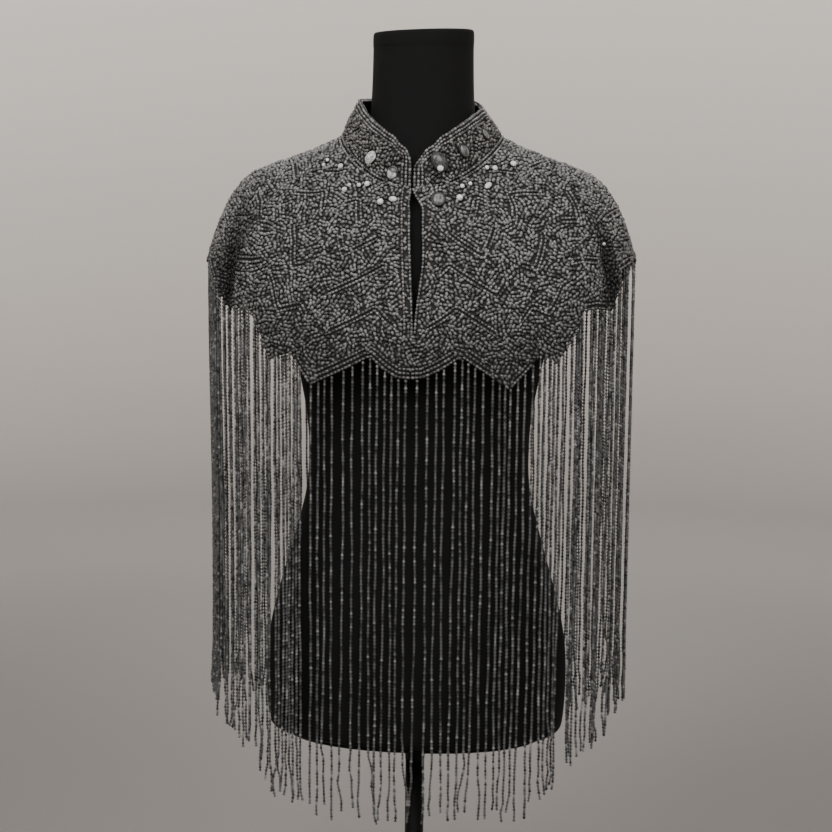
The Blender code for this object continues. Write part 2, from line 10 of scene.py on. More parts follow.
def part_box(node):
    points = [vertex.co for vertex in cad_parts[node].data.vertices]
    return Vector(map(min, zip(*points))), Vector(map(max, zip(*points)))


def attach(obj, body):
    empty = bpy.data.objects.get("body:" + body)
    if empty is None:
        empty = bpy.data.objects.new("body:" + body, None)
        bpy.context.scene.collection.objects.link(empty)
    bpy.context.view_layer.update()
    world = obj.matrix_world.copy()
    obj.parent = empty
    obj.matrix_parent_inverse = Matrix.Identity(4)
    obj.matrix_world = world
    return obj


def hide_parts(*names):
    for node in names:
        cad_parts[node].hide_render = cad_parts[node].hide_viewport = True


# A beaded fringe capelet on a limbless dress form, with its studio.
#
# Metres, +Z up.  The front faces -Y and "left" is the -X side.  The cape is one surface,
# cape_point(angle, reach): angle goes round the body from 0 at the front to 90 on the
# right shoulder and 180 at the back (negative on the left), and reach goes from 0 at the
# neckline seam to 1 at the hem line.  The cloth, beads, rows and stones all follow it.

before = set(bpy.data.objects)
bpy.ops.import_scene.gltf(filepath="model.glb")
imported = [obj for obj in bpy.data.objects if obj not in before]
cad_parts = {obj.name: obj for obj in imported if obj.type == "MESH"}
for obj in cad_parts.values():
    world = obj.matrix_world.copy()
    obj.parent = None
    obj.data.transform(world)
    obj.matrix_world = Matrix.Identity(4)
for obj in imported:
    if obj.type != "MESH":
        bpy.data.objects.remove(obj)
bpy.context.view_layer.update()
BODY = "root"

# ------------------------------------------------------------ the capelet's own sizes
CAPE_LENGTH = 0.215
SHOULDER_SEAM = 90.0
SHOULDER_GAP = 0.35
SLIT_HALF_WIDTH = 0.0060
SLIT_WIDEST = 0.13
SLIT_NARROWS = 0.36
SLIT_CLOSED = 0.82
EDGE_CLEARANCE = 0.0004
COLLAR_EDGE_CLEARANCE = 0.0014
COLLAR_CORNER = 0.011
COLLAR_BOW = 0.0012
SEAM_GAP = 0.0003
# how far apart the points are that a surface's direction is taken from
REACH_NUDGE = 0.004
ANGLE_NUDGE = 0.6
SHARE_NUDGE = 0.02
COLLAR_ANGLE_NUDGE = 0.8

# reach, half width, side height, front depth and height, back depth and height,
# roundness of the plan, and how fast the height changes from the centre to the side
CAPE_RINGS = np.array((
    (0.000, 0.0905, 1.0165, 0.0830, 0.9605, 0.0700, 1.0280, 2.00, 1.60),
    (0.125, 0.1163, 1.0043, 0.0945, 0.9390, 0.0830, 1.0015, 2.02, 1.45),
    (0.250, 0.1429, 0.9940, 0.1045, 0.9165, 0.0945, 0.9745, 2.05, 1.35),
    (0.375, 0.1698, 0.9843, 0.1125, 0.8925, 0.1040, 0.9465, 2.08, 1.30),
    (0.500, 0.1958, 0.9725, 0.1185, 0.8675, 0.1115, 0.9180, 2.10, 1.30),
    (0.625, 0.2153, 0.9518, 0.1235, 0.8420, 0.1175, 0.8890, 2.14, 1.30),
    (0.750, 0.2286, 0.9265, 0.1270, 0.8163, 0.1220, 0.8600, 2.17, 1.30),
    (0.875, 0.2386, 0.8995, 0.1295, 0.7905, 0.1255, 0.8305, 2.20, 1.30),
    (1.000, 0.2468, 0.8720, 0.1310, 0.7645, 0.1280, 0.8010, 2.20, 1.30),
    (1.125, 0.2535, 0.8440, 0.1320, 0.7385, 0.1300, 0.7715, 2.20, 1.30),
))
RING_STEP = 0.125

# angle, lean, depth, spread and start of each soft fold
FOLDS = (
    (60.0, 9.0, 0.0085, 3.6, 0.46),
    (34.0, -2.0, 0.0020, 6.0, 0.55),
    (14.0, 1.0, 0.0012, 5.0, 0.60),
    (98.0, -3.0, 0.0035, 7.0, 0.50),
    (121.0, -8.0, 0.0075, 4.2, 0.44),
    (149.0, 3.0, 0.0030, 6.0, 0.52),
)

# The painted shade in the deepest folds, by side: angle, lean, spread towards the front and
# the back, and start
SHADES = {
    -1: ((56.3, 9.0, 1.6, 13.0, 0.32), (121.0, -8.0, 9.0, 6.0, 0.44)),
    1: ((62.3, 5.0, 1.0, 7.0, 0.30), (121.0, -8.0, 9.0, 6.0, 0.44)),
}

HEM_SHADE = 0.40            # painted shade towards the hem, where the cape turns down from the light
HEM_SHADE_START = 0.72      # the reach where it begins
HEM_SHADE_LENGTH = 0.24     # and how much further on it is at its deepest
FOLD_SHADE_FULL = 0.85      # the reach where a fold's painted shade is at its deepest

CLOTH_THICKNESS = 0.0008
CLOTH_LIFT = -0.0010        # the net's outer face lies inside the cape's surface
PANEL_ROWS = 46
PANEL_STEP = 1.6            # degrees between a panel's columns
COLLAR_ROWS = 14

# (angle, how far the cut edge lies below the hem line)
HEM_BACK = (
    (102.0, -0.0130), (114.0, 0.0030), (124.0, 0.0040), (131.0, -0.0160),
    (141.5, 0.0150), (148.5, -0.0030), (157.0, 0.0260), (170.0, -0.0125),
    (174.0, 0.0000), (177.0, 0.0080), (180.0, 0.0095),
)
HEM = {
    -1: ((0.0, 0.0095), (2.6, 0.0088), (5.7, 0.0000), (8.9, -0.0126), (23.6, 0.0310),
         (30.8, 0.0045), (37.5, 0.0200), (42.4, -0.0035), (48.5, -0.0195),
         (52.5, -0.0095), (60.0, 0.0037), (66.0, -0.0070), (78.0, -0.0105),
         (90.0, -0.0080)) + HEM_BACK,
    1: ((0.0, 0.0095), (2.4, 0.0085), (6.2, 0.0000), (11.2, -0.0130), (22.9, 0.0305),
        (32.6, 0.0035), (37.5, 0.0180), (46.0, -0.0065), (48.5, -0.0200),
        (54.0, -0.0130), (62.0, 0.0037), (66.0, -0.0095), (70.5, -0.0260),
        (78.0, -0.0200), (90.0, -0.0080)) + HEM_BACK,
}

# (angle, height above the floor where the bead strings end)
STRING_ENDS = (
    (0.0, 0.2575), (24.0, 0.2600), (31.0, 0.2660), (37.0, 0.2820), (43.0, 0.3160),
    (55.0, 0.3290), (63.0, 0.3360), (69.0, 0.3640), (90.0, 0.3760), (110.0, 0.3680),
    (128.0, 0.3420), (150.0, 0.3080), (180.0, 0.2960),
)
CENTRE_FRONT = ((0.00, -0.0045), (0.16, 0.0015), (0.45, 0.0038), (0.75, 0.0025), (1.00, 0.0))
COLLAR_HEIGHT = (
    (0.0, 0.0310), (10.0, 0.0440), (20.0, 0.0530), (32.0, 0.0555), (48.0, 0.0545),
    (64.0, 0.0500), (90.0, 0.0420), (135.0, 0.0385), (180.0, 0.0380),
)
COLLAR_LEAN = (
    (0.0, 0.0030), (10.0, 0.0040), (20.0, 0.0055), (32.0, 0.0075), (48.0, 0.0120),
    (64.0, 0.0170), (90.0, 0.0200), (135.0, 0.0130), (180.0, 0.0090),
)

# Where the collar sags in on the right: middle and spread in degrees, how far in and down
COLLAR_SLUMP = (92.0, 34.0, 0.0035, 0.0110)

# ------------------------------------------------------------------- beads and strings
BEAD_LIFT = 0.0002          # middle of the field's beads above the cloth's face
ROW_LIFT = 0.0005
ROW_PITCH = 0.0047          # between the rows along the hem
COLLAR_ROW_PITCH = 0.0043
ROW_INSET = 0.0013          # an edge's first row from the cut
NECK_ROW = 0.0032           # the row on the cape below the neckline seam
COLLAR_FOOT_ROW = 0.0013    # the row on the collar above that seam
NECK_ROWS_START = 24.0      # the angle where both begin
INSIDE_COLLAR = -0.0026     # lift of the row just inside the collar's top edge
SHORTEST_ROW = 6.0          # degrees
EDGE_CLEAR = -0.0025        # outside an edge: no bead of the field strays past it
EDGE_CLEAR_END = 0.60       # below this the front edges meet and need no clear line
# angle, distance between neighbouring strings
STRING_PITCH = ((0.0, 0.0078), (27.0, 0.0060), (33.0, 0.0044), (60.0, 0.0044), (80.0, 0.0056),
                (100.0, 0.0056), (115.0, 0.0044), (143.0, 0.0044), (146.0, 0.0078),
                (180.0, 0.0078))
STRING_LIFT = -0.0009
FINE_BEADS = {"Pitch along": 0.0046, "Pitch across": 0.0038, "Bead length": 0.0058,
              "Bead width": 0.0038, "Patch size": 0.010, "Closest": 0.0025}    # on the collar
STRING_TOP_GAP = 0.0008
STRING_STEP = 0.011         # between the points of a string's line
STRING_SWAY = ((1.1, 0.0004), (2.7, 0.0004), (6.5, 0.0003))    # waves, and how far out
STRING_END_SPREAD = (-0.006, 0.012)    # how far the ends differ from STRING_ENDS
LOOSE_LENGTH = (0.04, 0.11)    # of each string's kinked lower end
LOOSENS_OVER = 0.06
KINK_ASIDE = 0.0014         # how unruly the loose ends are, along the hem and out from it
KINK_OUT = 0.0006
STRING_LEAN = 0.0012
STANDS_ASIDE_OVER = 0.016   # length over which a string moves aside from a parting
CLEAR_OF_GAP = 0.002        # left before the first parting and before the back's middle
PARTING_SPAN = 7.0          # degrees to each side that one parting can take up
UNEVEN_PITCH = 0.22         # share of the pitch by which a string's foot strays

# Levels of zigzag rows above the hem: how far up, how many rows, and the angles that
# they are sewn between.
Level = namedtuple("Level", "up rows spans")
LEVELS = (
    Level(0.242, 2, ((3.5, 21.0), (28.0, 44.0), (50.0, 66.0), (74.0, 88.0), (92.0, 112.0),
                     (120.0, 139.0), (147.0, 166.0), (171.0, 180.0))),
    Level(0.470, 2, ((8.0, 26.0), (34.0, 47.0), (56.0, 70.0), (94.0, 118.0), (126.0, 140.0),
                     (150.0, 172.0))),
    Level(0.680, 2, ((14.0, 33.0), (42.0, 60.0), (70.0, 84.0), (98.0, 122.0), (132.0, 150.0),
                     (160.0, 178.0))),
    Level(0.850, 2, ((22.0, 36.0), (50.0, 64.0), (104.0, 124.0), (146.0, 168.0))),
)
# Rows along the hem, by side: start, end and how many
HEM_ROWS = {
    -1: ((0.4, 9.5, 3), (9.5, 22.6, 3), (24.4, 29.0, 2)),
    1: ((0.4, 10.6, 3), (11.8, 19.0, 3), (23.6, 29.5, 2), (41.0, 45.0, 2), (49.5, 60.5, 2)),
}
HEM_ROWS_BEHIND = ((70.0, 80.0, 2), (94.0, 101.0, 2), (115.0, 123.0, 2), (132.0, 141.0, 3),
                   (149.0, 156.5, 3), (158.0, 179.8, 3))
# Rows along each front edge: how far in from the cut
EDGE_ROWS = {-1: (0.0013, 0.0092), 1: (0.0013,)}
EDGE_ROWS_START = 0.012
EDGE_ROWS_END = 0.80

SPLITS = {"front": (0.3, 57.0), "side": (57.0, 127.0), "back": (127.0, 179.8)}

# Steps from string to string over the body, in millimetres, from the middle outwards
FRONT_STEPS = {
    -1: (4.5, 8.0, 7.5, 7.5, 8.5, 8.0, 8.0, 11.5, 10.0, 13.0, 8.0, 7.0, 8.5, 6.5),
    1: (7.0, 11.5, 9.5, 8.0, 12.0, 8.0, 6.5, 7.5, 9.0, 10.5, 7.5, 6.0, 6.0, 8.0, 8.0, 9.0),
}
# Where the side strings part and leave a gap: angle, half of the gap as seen from the front
PARTINGS = {
    -1: ((25.8, 0.0037), (27.9, 0.0018), (30.3, 0.0023), (32.4, 0.0020), (36.4, 0.0035),
         (39.4, 0.0020), (41.8, 0.0024), (46.5, 0.0034), (56.1, 0.0036), (61.0, 0.0025),
         (63.7, 0.0020), (101.0, 0.0020), (109.1, 0.0025), (113.4, 0.0036), (122.6, 0.0034),
         (127.1, 0.0024), (128.9, 0.0020), (131.9, 0.0035), (137.9, 0.0020), (141.1, 0.0023),
         (143.4, 0.0018), (145.0, 0.0037)),
    1: ((31.6, 0.0028), (33.4, 0.0026), (36.1, 0.0023), (37.3, 0.0025), (40.4, 0.0022),
        (42.0, 0.0027), (44.5, 0.0025), (49.6, 0.0024), (51.3, 0.0027), (55.0, 0.0023),
        (65.4, 0.0020), (72.5, 0.0018), (80.8, 0.0034), (95.6, 0.0034), (110.8, 0.0018),
        (115.5, 0.0020), (124.9, 0.0023), (128.9, 0.0027), (130.7, 0.0024), (135.6, 0.0025),
        (138.3, 0.0027), (140.1, 0.0022), (143.1, 0.0025), (144.5, 0.0023), (147.4, 0.0026),
        (149.2, 0.0028)),
}
# Between these angles the hem runs front to back: no string is left out at a parting there,
# and each stands aside from it
BESIDE = (76.0, 118.0)
# How far the side strings lean in towards the pole by their ends
SIDE_LEAN = {-1: 0.0050, 1: 0.0}

Cabochon = namedtuple("Cabochon", "node on angle reach width height turn rise look")
CABOCHONS = (
    Cabochon("stone_left_collar_upper", "collar", -35.8, 0.30, 0.0106, 0.0155, -20, 0.0030,
             "milky"),
    # milky below and smoky on top: a painted highlight over its lower part
    Cabochon("stone_left_collar_front", "collar", -17.2, 0.235, 0.0122, 0.0150, 8, 0.0034,
             "banded"),
    Cabochon("stone_right_collar_front", "collar", 16.2, 0.50, 0.0170, 0.0235, 0, 0.0042, "smoky"),
    Cabochon("stone_right_collar_middle", "collar", 35.4, 0.46, 0.0115, 0.0170, 8, 0.0030, "grey"),
    Cabochon("stone_right_collar_side", "collar", 60.0, 0.47, 0.0095, 0.0150, 8, 0.0030, "grey"),
    Cabochon("stone_right_yoke", "cape", 13.2, 0.085, 0.0165, 0.0165, 0, 0.0040, "grey"),
)
# small cut stones on the yoke: angle, reach, width, height
CUT_STONES = (
    (-64.4, 0.136, 0.0050, 0.0050), (-66.3, 0.108, 0.0045, 0.0045),
    (-55.1, 0.075, 0.0070, 0.0070), (-40.8, 0.115, 0.0050, 0.0050),
    (-41.0, 0.148, 0.0070, 0.0070), (-36.0, 0.087, 0.0055, 0.0055),
    (-32.1, 0.058, 0.0070, 0.0070), (-19.3, 0.121, 0.0080, 0.0080),
    (-13.1, 0.087, 0.0100, 0.0070), (50.3, 0.039, 0.0055, 0.0055),
    (54.0, 0.067, 0.0070, 0.0070), (65.6, 0.115, 0.0080, 0.0080),
    (29.6, 0.053, 0.0055, 0.0055), (34.6, 0.060, 0.0050, 0.0050),
    (42.7, 0.117, 0.0110, 0.0070), (25.0, 0.108, 0.0080, 0.0080),
    (67.0, 0.715, 0.0040, 0.0040),
)
STONE_IN_RIM = 0.92         # the stone's own share of the width and height above
STONE_RIM = 0.0008
CUT_STONE_RIM = 0.0005
SPARK = (0.0070, 0.0070)    # the cut stone set on the smoky one, a painted highlight
SPARK_RISE = 0.0024
ROOM_FOR_STONE = 0.0028     # a stone's spokes are this much shorter than the stone is wide
SPOKES = 12

# -------------------------------------------------------------------- form and studio
CAP_OVERLAP = 0.0020        # how far the cap's lower edge laps over the neck
CAP_FULLNESS = 0.35         # under 1 the cap's top corners stand out fuller
CAP_RISE = 0.0012
CAP_TILT = 0.042            # the cap's top slopes up to the right
PLATE_SHOWS = 0.0056        # how thick the plate under the form looks
SOCKET_SHOWS = 0.0114       # radius of the socket round the pole

FLOOR_RADIUS = 3.4
FILLET = 1.6
WALL_RADIUS = 5.0
SWEEP_SIDES = 96
PAPER_WARMTH = 0.07


# ------------------------------------------------------------------ numbers and curves
def smooth_step(value):
    value = np.clip(value, 0.0, 1.0)
    return value * value * (3.0 - 2.0 * value)


def power(value, exponent):
    """A signed power, for superellipses."""
    return np.sign(value) * np.abs(value) ** exponent


def curve_through(values, at):
    """A smooth curve through evenly spaced values; at counts in steps of the list."""
    last = len(values) - 1
    ends = ([2.0 * values[0] - values[1]], [2.0 * values[-1] - values[-2]])
    padded = np.concatenate((ends[0], values, ends[1]))
    index = np.clip(np.floor(at).astype(int), 0, last - 1)
    t = at - index
    a, b, c, d = (padded[index + step] for step in range(4))
    return b + 0.5 * t * (c - a + t * (2 * a - 5 * b + 4 * c - d + t * (3 * (b - c) + d - a)))


def table(rows, at, ease=False):
    """The value between two rows of a table, in straight or eased steps."""
    keys, values = np.array(rows, float).T
    low = np.clip(np.searchsorted(keys, at) - 1, 0, len(keys) - 2)
    share = np.clip((at - keys[low]) / (keys[low + 1] - keys[low]), 0.0, 1.0)
    share = smooth_step(share) if ease else share
    return values[low] * (1.0 - share) + values[low + 1] * share


def unit(arrows):
    return arrows / np.linalg.norm(arrows, axis=-1, keepdims=True)


def walked(points):
    """How far along a line each of its points is."""
    steps = np.linalg.norm(np.diff(points, axis=0), axis=1)
    return np.concatenate(((0.0,), np.cumsum(steps)))


def wrapped(angle):
    """Angles past the middle of the back, counted as the left side's."""
    angle = np.asarray(angle, float)
    return np.where(angle > 180.0, angle - 360.0, angle)


# ------------------------------------------------------------------ the cape's surface
def ring_at(reach):
    at = reach / RING_STEP
    return [curve_through(CAPE_RINGS[:, column], at) for column in range(1, 9)]


def cape_point(angle, reach):
    """Points of the cape's outer surface: the smooth ring, pressed in by the folds."""
    angle, reach = np.broadcast_arrays(np.asarray(angle, float), np.asarray(reach, float))
    half, side_z, front, front_z, back, back_z, roundness, sweep = ring_at(reach)
    sine, cosine = np.sin(np.radians(angle)), np.cos(np.radians(angle))
    ahead = cosine >= 0.0
    end_z = np.where(ahead, front_z, back_z)
    depth = np.where(ahead, front, back)
    x = half * power(sine, 2.0 / roundness)
    y = -depth * power(cosine, 2.0 / roundness)
    z = side_z + (end_z - side_z) * np.abs(cosine) ** sweep
    inward = np.stack((-x / half ** 2, -y / front ** 2, np.zeros_like(z)), -1)
    return np.stack((x, y, z), -1) + unit(inward) * fold_depth(angle, reach)[..., None]


def fold_depth(angle, reach):
    depth = np.zeros_like(reach)
    for at, lean, deep, spread, start in FOLDS:
        down = smooth_step((reach - start) / (1.0 - start))
        middle = at + lean * (1.0 - reach) / (1.0 - start)
        away = (np.abs(angle) - middle) / spread
        depth = depth + deep * down * np.exp(-away * away)
    return depth


def cape_normal(angle, reach):
    low = np.maximum(0.0, reach - REACH_NUDGE)
    around = cape_point(angle + ANGLE_NUDGE, reach) - cape_point(angle - ANGLE_NUDGE, reach)
    down = cape_point(angle, reach + REACH_NUDGE) - cape_point(angle, low)
    return unit(np.cross(down, around))


def surface(angle, reach, lift=0.0):
    """Points of the cape, moved out along its normal by lift."""
    angle = wrapped(angle)
    return cape_point(angle, reach) + cape_normal(angle, reach) * lift


def hem_reach(angle):
    angle = wrapped(angle)
    left, right = table(HEM[-1], np.abs(angle)), table(HEM[1], np.abs(angle))
    return 1.0 + np.where(angle < 0.0, left, right) / CAPE_LENGTH


def front_edge_x(side, reach):
    """How far a front's edge is out from the middle, on its own side."""
    opening = smooth_step(reach / SLIT_WIDEST)
    closing = 1.0 - smooth_step((reach - SLIT_NARROWS) / (SLIT_CLOSED - SLIT_NARROWS))
    middle = side * table(CENTRE_FRONT, reach, ease=True)
    return middle + EDGE_CLEARANCE + SLIT_HALF_WIDTH * opening * closing


def angle_at_x(x, reach):
    half, *_, roundness, _ = ring_at(reach)
    return np.degrees(np.arcsin(power(x / half, roundness / 2.0)))


# ---------------------------------------------------------------- the collar's surface
def collar_height(angle):
    return table(COLLAR_HEIGHT, np.minimum(180.0, np.abs(angle)), ease=True)


def collar_point(angle, share):
    """Points of the collar's outer surface, from its foot (0) to its top edge (1)."""
    angle, share = np.broadcast_arrays(np.asarray(angle, float), np.asarray(share, float))
    foot = cape_point(angle, np.zeros_like(angle))
    lean = table(COLLAR_LEAN, np.minimum(180.0, np.abs(angle)), ease=True)
    outward = unit(foot * (1.0, 1.0, 0.0))
    slump = np.exp(-((angle - COLLAR_SLUMP[0]) / COLLAR_SLUMP[1]) ** 2) * share
    inwards = lean * share - COLLAR_BOW * np.sin(np.pi * share) + COLLAR_SLUMP[2] * slump
    rise = SEAM_GAP + collar_height(angle) * share - COLLAR_SLUMP[3] * slump
    return foot + rise[..., None] * (0.0, 0.0, 1.0) - outward * inwards[..., None]


def collar_surface(angle, share, lift=0.0):
    low, high = np.maximum(0.0, share - SHARE_NUDGE), np.minimum(1.0, share + SHARE_NUDGE)
    around = (collar_point(angle + COLLAR_ANGLE_NUDGE, share)
              - collar_point(angle - COLLAR_ANGLE_NUDGE, share))
    upward = collar_point(angle, high) - collar_point(angle, low)
    return collar_point(angle, share) + unit(np.cross(around, upward)) * lift


def collar_edge_x(side):
    return side * CENTRE_FRONT[0][1] + COLLAR_EDGE_CLEARANCE


def collar_top_share(from_edge):
    """How far up the collar goes near its front edge, where its corner is rounded off."""
    inside = np.clip(COLLAR_CORNER - from_edge, 0.0, COLLAR_CORNER)
    drop = COLLAR_CORNER - np.sqrt(COLLAR_CORNER ** 2 - inside ** 2)
    return 1.0 - drop / COLLAR_HEIGHT[0][1]


# --------------------------------------------------------------- building node trees
class Wire:
    """A node's output.  Arithmetic on it adds maths nodes; [key] is another of its outputs."""

    def __init__(self, tree, node, key=0):
        self.tree = tree
        self.node = node
        self.socket = node.outputs[key] if len(node.outputs) else None

    def __getitem__(self, key):
        return Wire(self.tree, self.node, key)

    def __add__(self, other):
        return maths("ADD", self, other)

    def __sub__(self, other):
        return maths("SUBTRACT", self, other)

    def __rsub__(self, other):
        return maths("SUBTRACT", other, self)

    def __mul__(self, other):
        return maths("MULTIPLY", self, other)

    def __truediv__(self, other):
        return maths("DIVIDE", self, other)

    def __rtruediv__(self, other):
        return maths("DIVIDE", other, self)

    __radd__ = __add__
    __rmul__ = __mul__


def feed(tree, node, inputs):
    """Sets a node's inputs to values, or joins wires to them."""
    for key, value in inputs.items():
        if isinstance(value, Wire):
            tree.links.new(value.socket, node.inputs[key])
        else:
            node.inputs[key].default_value = value


def put(tree, kind, inputs=None, **settings):
    """A new node with its settings and inputs, as the wire from its first output."""
    node = tree.nodes.new(kind)
    for name, value in settings.items():
        setattr(node, name, value)
    feed(tree, node, inputs or {})
    return Wire(tree, node)


def tree_of(values):
    return next(value.tree for value in values if isinstance(value, Wire))


def maths(operation, *values):
    return put(tree_of(values), "ShaderNodeMath", dict(enumerate(values)), operation=operation)


def vectors(operation, *values):
    inputs = dict(enumerate(values))
    made = put(tree_of(values), "ShaderNodeVectorMath", inputs, operation=operation)
    return made["Value" if operation in ("DOT_PRODUCT", "LENGTH") else "Vector"]


def scaled(vector, factor):
    inputs = {0: vector, "Scale": factor}
    return put(vector.tree, "ShaderNodeVectorMath", inputs, operation="SCALE")


def ranged(value, low=0.0, high=1.0, to_low=0.0, to_high=1.0):
    inputs = {"Value": value, "From Min": low, "From Max": high, "To Min": to_low, "To Max": to_high}
    return put(value.tree, "ShaderNodeMapRange", inputs)


def mixed(tree, share, first, second, blend="MIX"):
    inputs = {0: share, 6: first, 7: second}
    return put(tree, "ShaderNodeMix", inputs, data_type="RGBA", blend_type=blend)[2]


def on_object(tree):
    return put(tree, "ShaderNodeTexCoord")["Object"]


def noise(place, scale, detail, **more):
    inputs = {"Vector": place, "Scale": scale, "Detail": detail, **more}
    return put(place.tree, "ShaderNodeTexNoise", inputs)


def chance(tree, low, high, seed, ident=None):
    inputs = {2: low, 3: high, 8: seed}
    if ident is not None:
        inputs[7] = ident
    return put(tree, "FunctionNodeRandomValue", inputs, data_type="FLOAT")[1]


def new_tree(name, kind, inputs, outputs):
    """A node group with named sockets (label, kind and value), and the wires of its inputs."""
    tree = bpy.data.node_groups.new(name, kind)
    for in_out, rows in (("INPUT", inputs), ("OUTPUT", outputs)):
        for label, socket, *value in rows:
            socket_type = "NodeSocket" + socket
            item = tree.interface.new_socket(label, in_out=in_out, socket_type=socket_type)
            if value:
                item.default_value = value[0]
    return tree, put(tree, "NodeGroupInput")


def mesh_tree(name, inputs):
    """A geometry tree with its own inputs, between the mesh given and the mesh made."""
    mesh = ("Geometry", "Geometry")
    return new_tree(name, "GeometryNodeTree", (mesh, *inputs, ("Material", "Material")), (mesh,))


def grown(thing, tree, values):
    """The object with its mesh replaced by what the geometry nodes make of it."""
    modifier = thing.modifiers.new(tree.name, "NODES")
    modifier.node_group = tree
    for item in tree.interface.items_tree:
        if item.in_out == "INPUT" and item.name in values:
            modifier[item.identifier] = values[item.name]
    depsgraph = bpy.context.evaluated_depsgraph_get()
    mesh = bpy.data.meshes.new_from_object(thing.evaluated_get(depsgraph), depsgraph=depsgraph,
                                           preserve_all_data_layers=True)
    thing.modifiers.clear()
    old = thing.data
    thing.data = mesh
    bpy.data.meshes.remove(old)
    return thing


# -------------------------------------------------------------------- geometry trees
def stored(tree, geometry, name, value):
    inputs = {"Geometry": geometry, "Name": name, "Value": value}
    return put(tree, "GeometryNodeStoreNamedAttribute", inputs, data_type="FLOAT")


def end_tree(tree, given, geometry):
    """The end that every tree has: real, smooth geometry with its material."""
    real = put(tree, "GeometryNodeRealizeInstances", {0: geometry})
    smooth = put(tree, "GeometryNodeSetShadeSmooth", {0: real})
    painted = put(tree, "GeometryNodeSetMaterial", {0: smooth, "Material": given["Material"]})
    put(tree, "NodeGroupOutput", {"Geometry": painted})
    return tree


def end_with_beads(tree, given, points, along, tone, size):
    """Beads on points, each lying along its vector."""
    turn = put(tree, "FunctionNodeAlignRotationToVector", {"Vector": along}, axis="Z")
    width = given["Bead width"]
    stretch = put(tree, "ShaderNodeCombineXYZ", {"X": width, "Y": width, "Z": given["Bead length"]})
    bead = put(tree, "GeometryNodeMeshIcoSphere", {"Radius": 0.5, "Subdivisions": 1})
    beads = put(tree, "GeometryNodeInstanceOnPoints",
                {"Points": stored(tree, points, "tone", tone), "Instance": bead,
                 "Rotation": turn, "Scale": scaled(stretch, size)})
    return end_tree(tree, given, beads)


def bead_size(tree, given, seed, ident=None):
    """About 1, a little more or less for each bead."""
    return 1.0 + chance(tree, -1.0, 1.0, seed, ident) * given["Size spread"]


def bead_field_tree():
    """Beads laid in short parallel rows, patch by patch, over a surface."""
    tree, given = mesh_tree("bead field", (
        ("Scatter density", "Float", 300000.0), ("Patch size", "Float", 0.011),
        ("Pitch along", "Float", 0.0050), ("Pitch across", "Float", 0.0041),
        ("Row shift", "Float", 0.37), ("Bead length", "Float", 0.0064),
        ("Bead width", "Float", 0.0041), ("Size spread", "Float", 0.16),
        ("Closest", "Float", 0.0027), ("Clear width", "Float", 0.0023),
        ("Jitter", "Float", 0.0006), ("Keep clear", "Object"), ("Seed", "Int", 1),
    ))
    pitch_u, pitch_v = given["Pitch along"], given["Pitch across"]
    scatter = put(tree, "GeometryNodeDistributePointsOnFaces",
                  {"Mesh": given, "Density": given["Scatter density"], "Seed": given["Seed"]},
                  distribute_method="RANDOM")
    place = put(tree, "GeometryNodeInputPosition")
    normal = scatter["Normal"]
    patch = put(tree, "ShaderNodeTexVoronoi", {"Vector": place, "Scale": 1.0 / given["Patch size"]})
    heading = put(tree, "ShaderNodeSeparateXYZ", {0: patch["Color"]})
    level = vectors("NORMALIZE", vectors("CROSS_PRODUCT", (0.0, 0.0, 1.0), normal))
    along = put(tree, "ShaderNodeVectorRotate",
                {"Vector": level, "Axis": normal, "Angle": heading * 6.2832},
                rotation_type="AXIS_ANGLE")
    across = vectors("CROSS_PRODUCT", normal, along)
    away = vectors("SUBTRACT", place, patch["Position"])
    u, v = vectors("DOT_PRODUCT", away, along), vectors("DOT_PRODUCT", away, across)
    row = maths("ROUND", v / pitch_v)
    shift = row * given["Row shift"]
    snapped = maths("ROUND", u / pitch_u + shift) - shift
    move = vectors("ADD", scaled(along, snapped * pitch_u - u), scaled(across, row * pitch_v - v))
    kept = put(tree, "GeometryNodeCaptureAttribute", domain="POINT")
    for name in ("along", "move"):
        kept.node.capture_items.new("VECTOR", name)
    feed(tree, kept.node, {"Geometry": scatter["Points"], "along": along, "move": move})
    laid = put(tree, "GeometryNodeSetPosition",
               {"Geometry": kept["Geometry"], "Offset": kept["move"]})
    merged = put(tree, "GeometryNodeMergeByDistance",
                 {"Geometry": laid, "Distance": given["Closest"]})
    wires = put(tree, "GeometryNodeObjectInfo", {"Object": given["Keep clear"]})["Geometry"]
    near = put(tree, "GeometryNodeProximity", {0: wires}, target_element="EDGES")["Distance"]
    taken = maths("LESS_THAN", near, given["Clear width"])
    open_field = put(tree, "GeometryNodeDeleteGeometry",
                     {"Geometry": merged, "Selection": taken}, domain="POINT")
    stray = put(tree, "FunctionNodeRandomValue",
                {0: (-1.0, -1.0, -1.0), 1: (1.0, 1.0, 1.0), 8: 5}, data_type="FLOAT_VECTOR")
    loose = put(tree, "GeometryNodeSetPosition",
                {"Geometry": open_field, "Offset": scaled(stray, given["Jitter"])})
    return end_with_beads(tree, given, loose, kept["along"], chance(tree, 0.0, 0.97, 41),
                          bead_size(tree, given, 31))


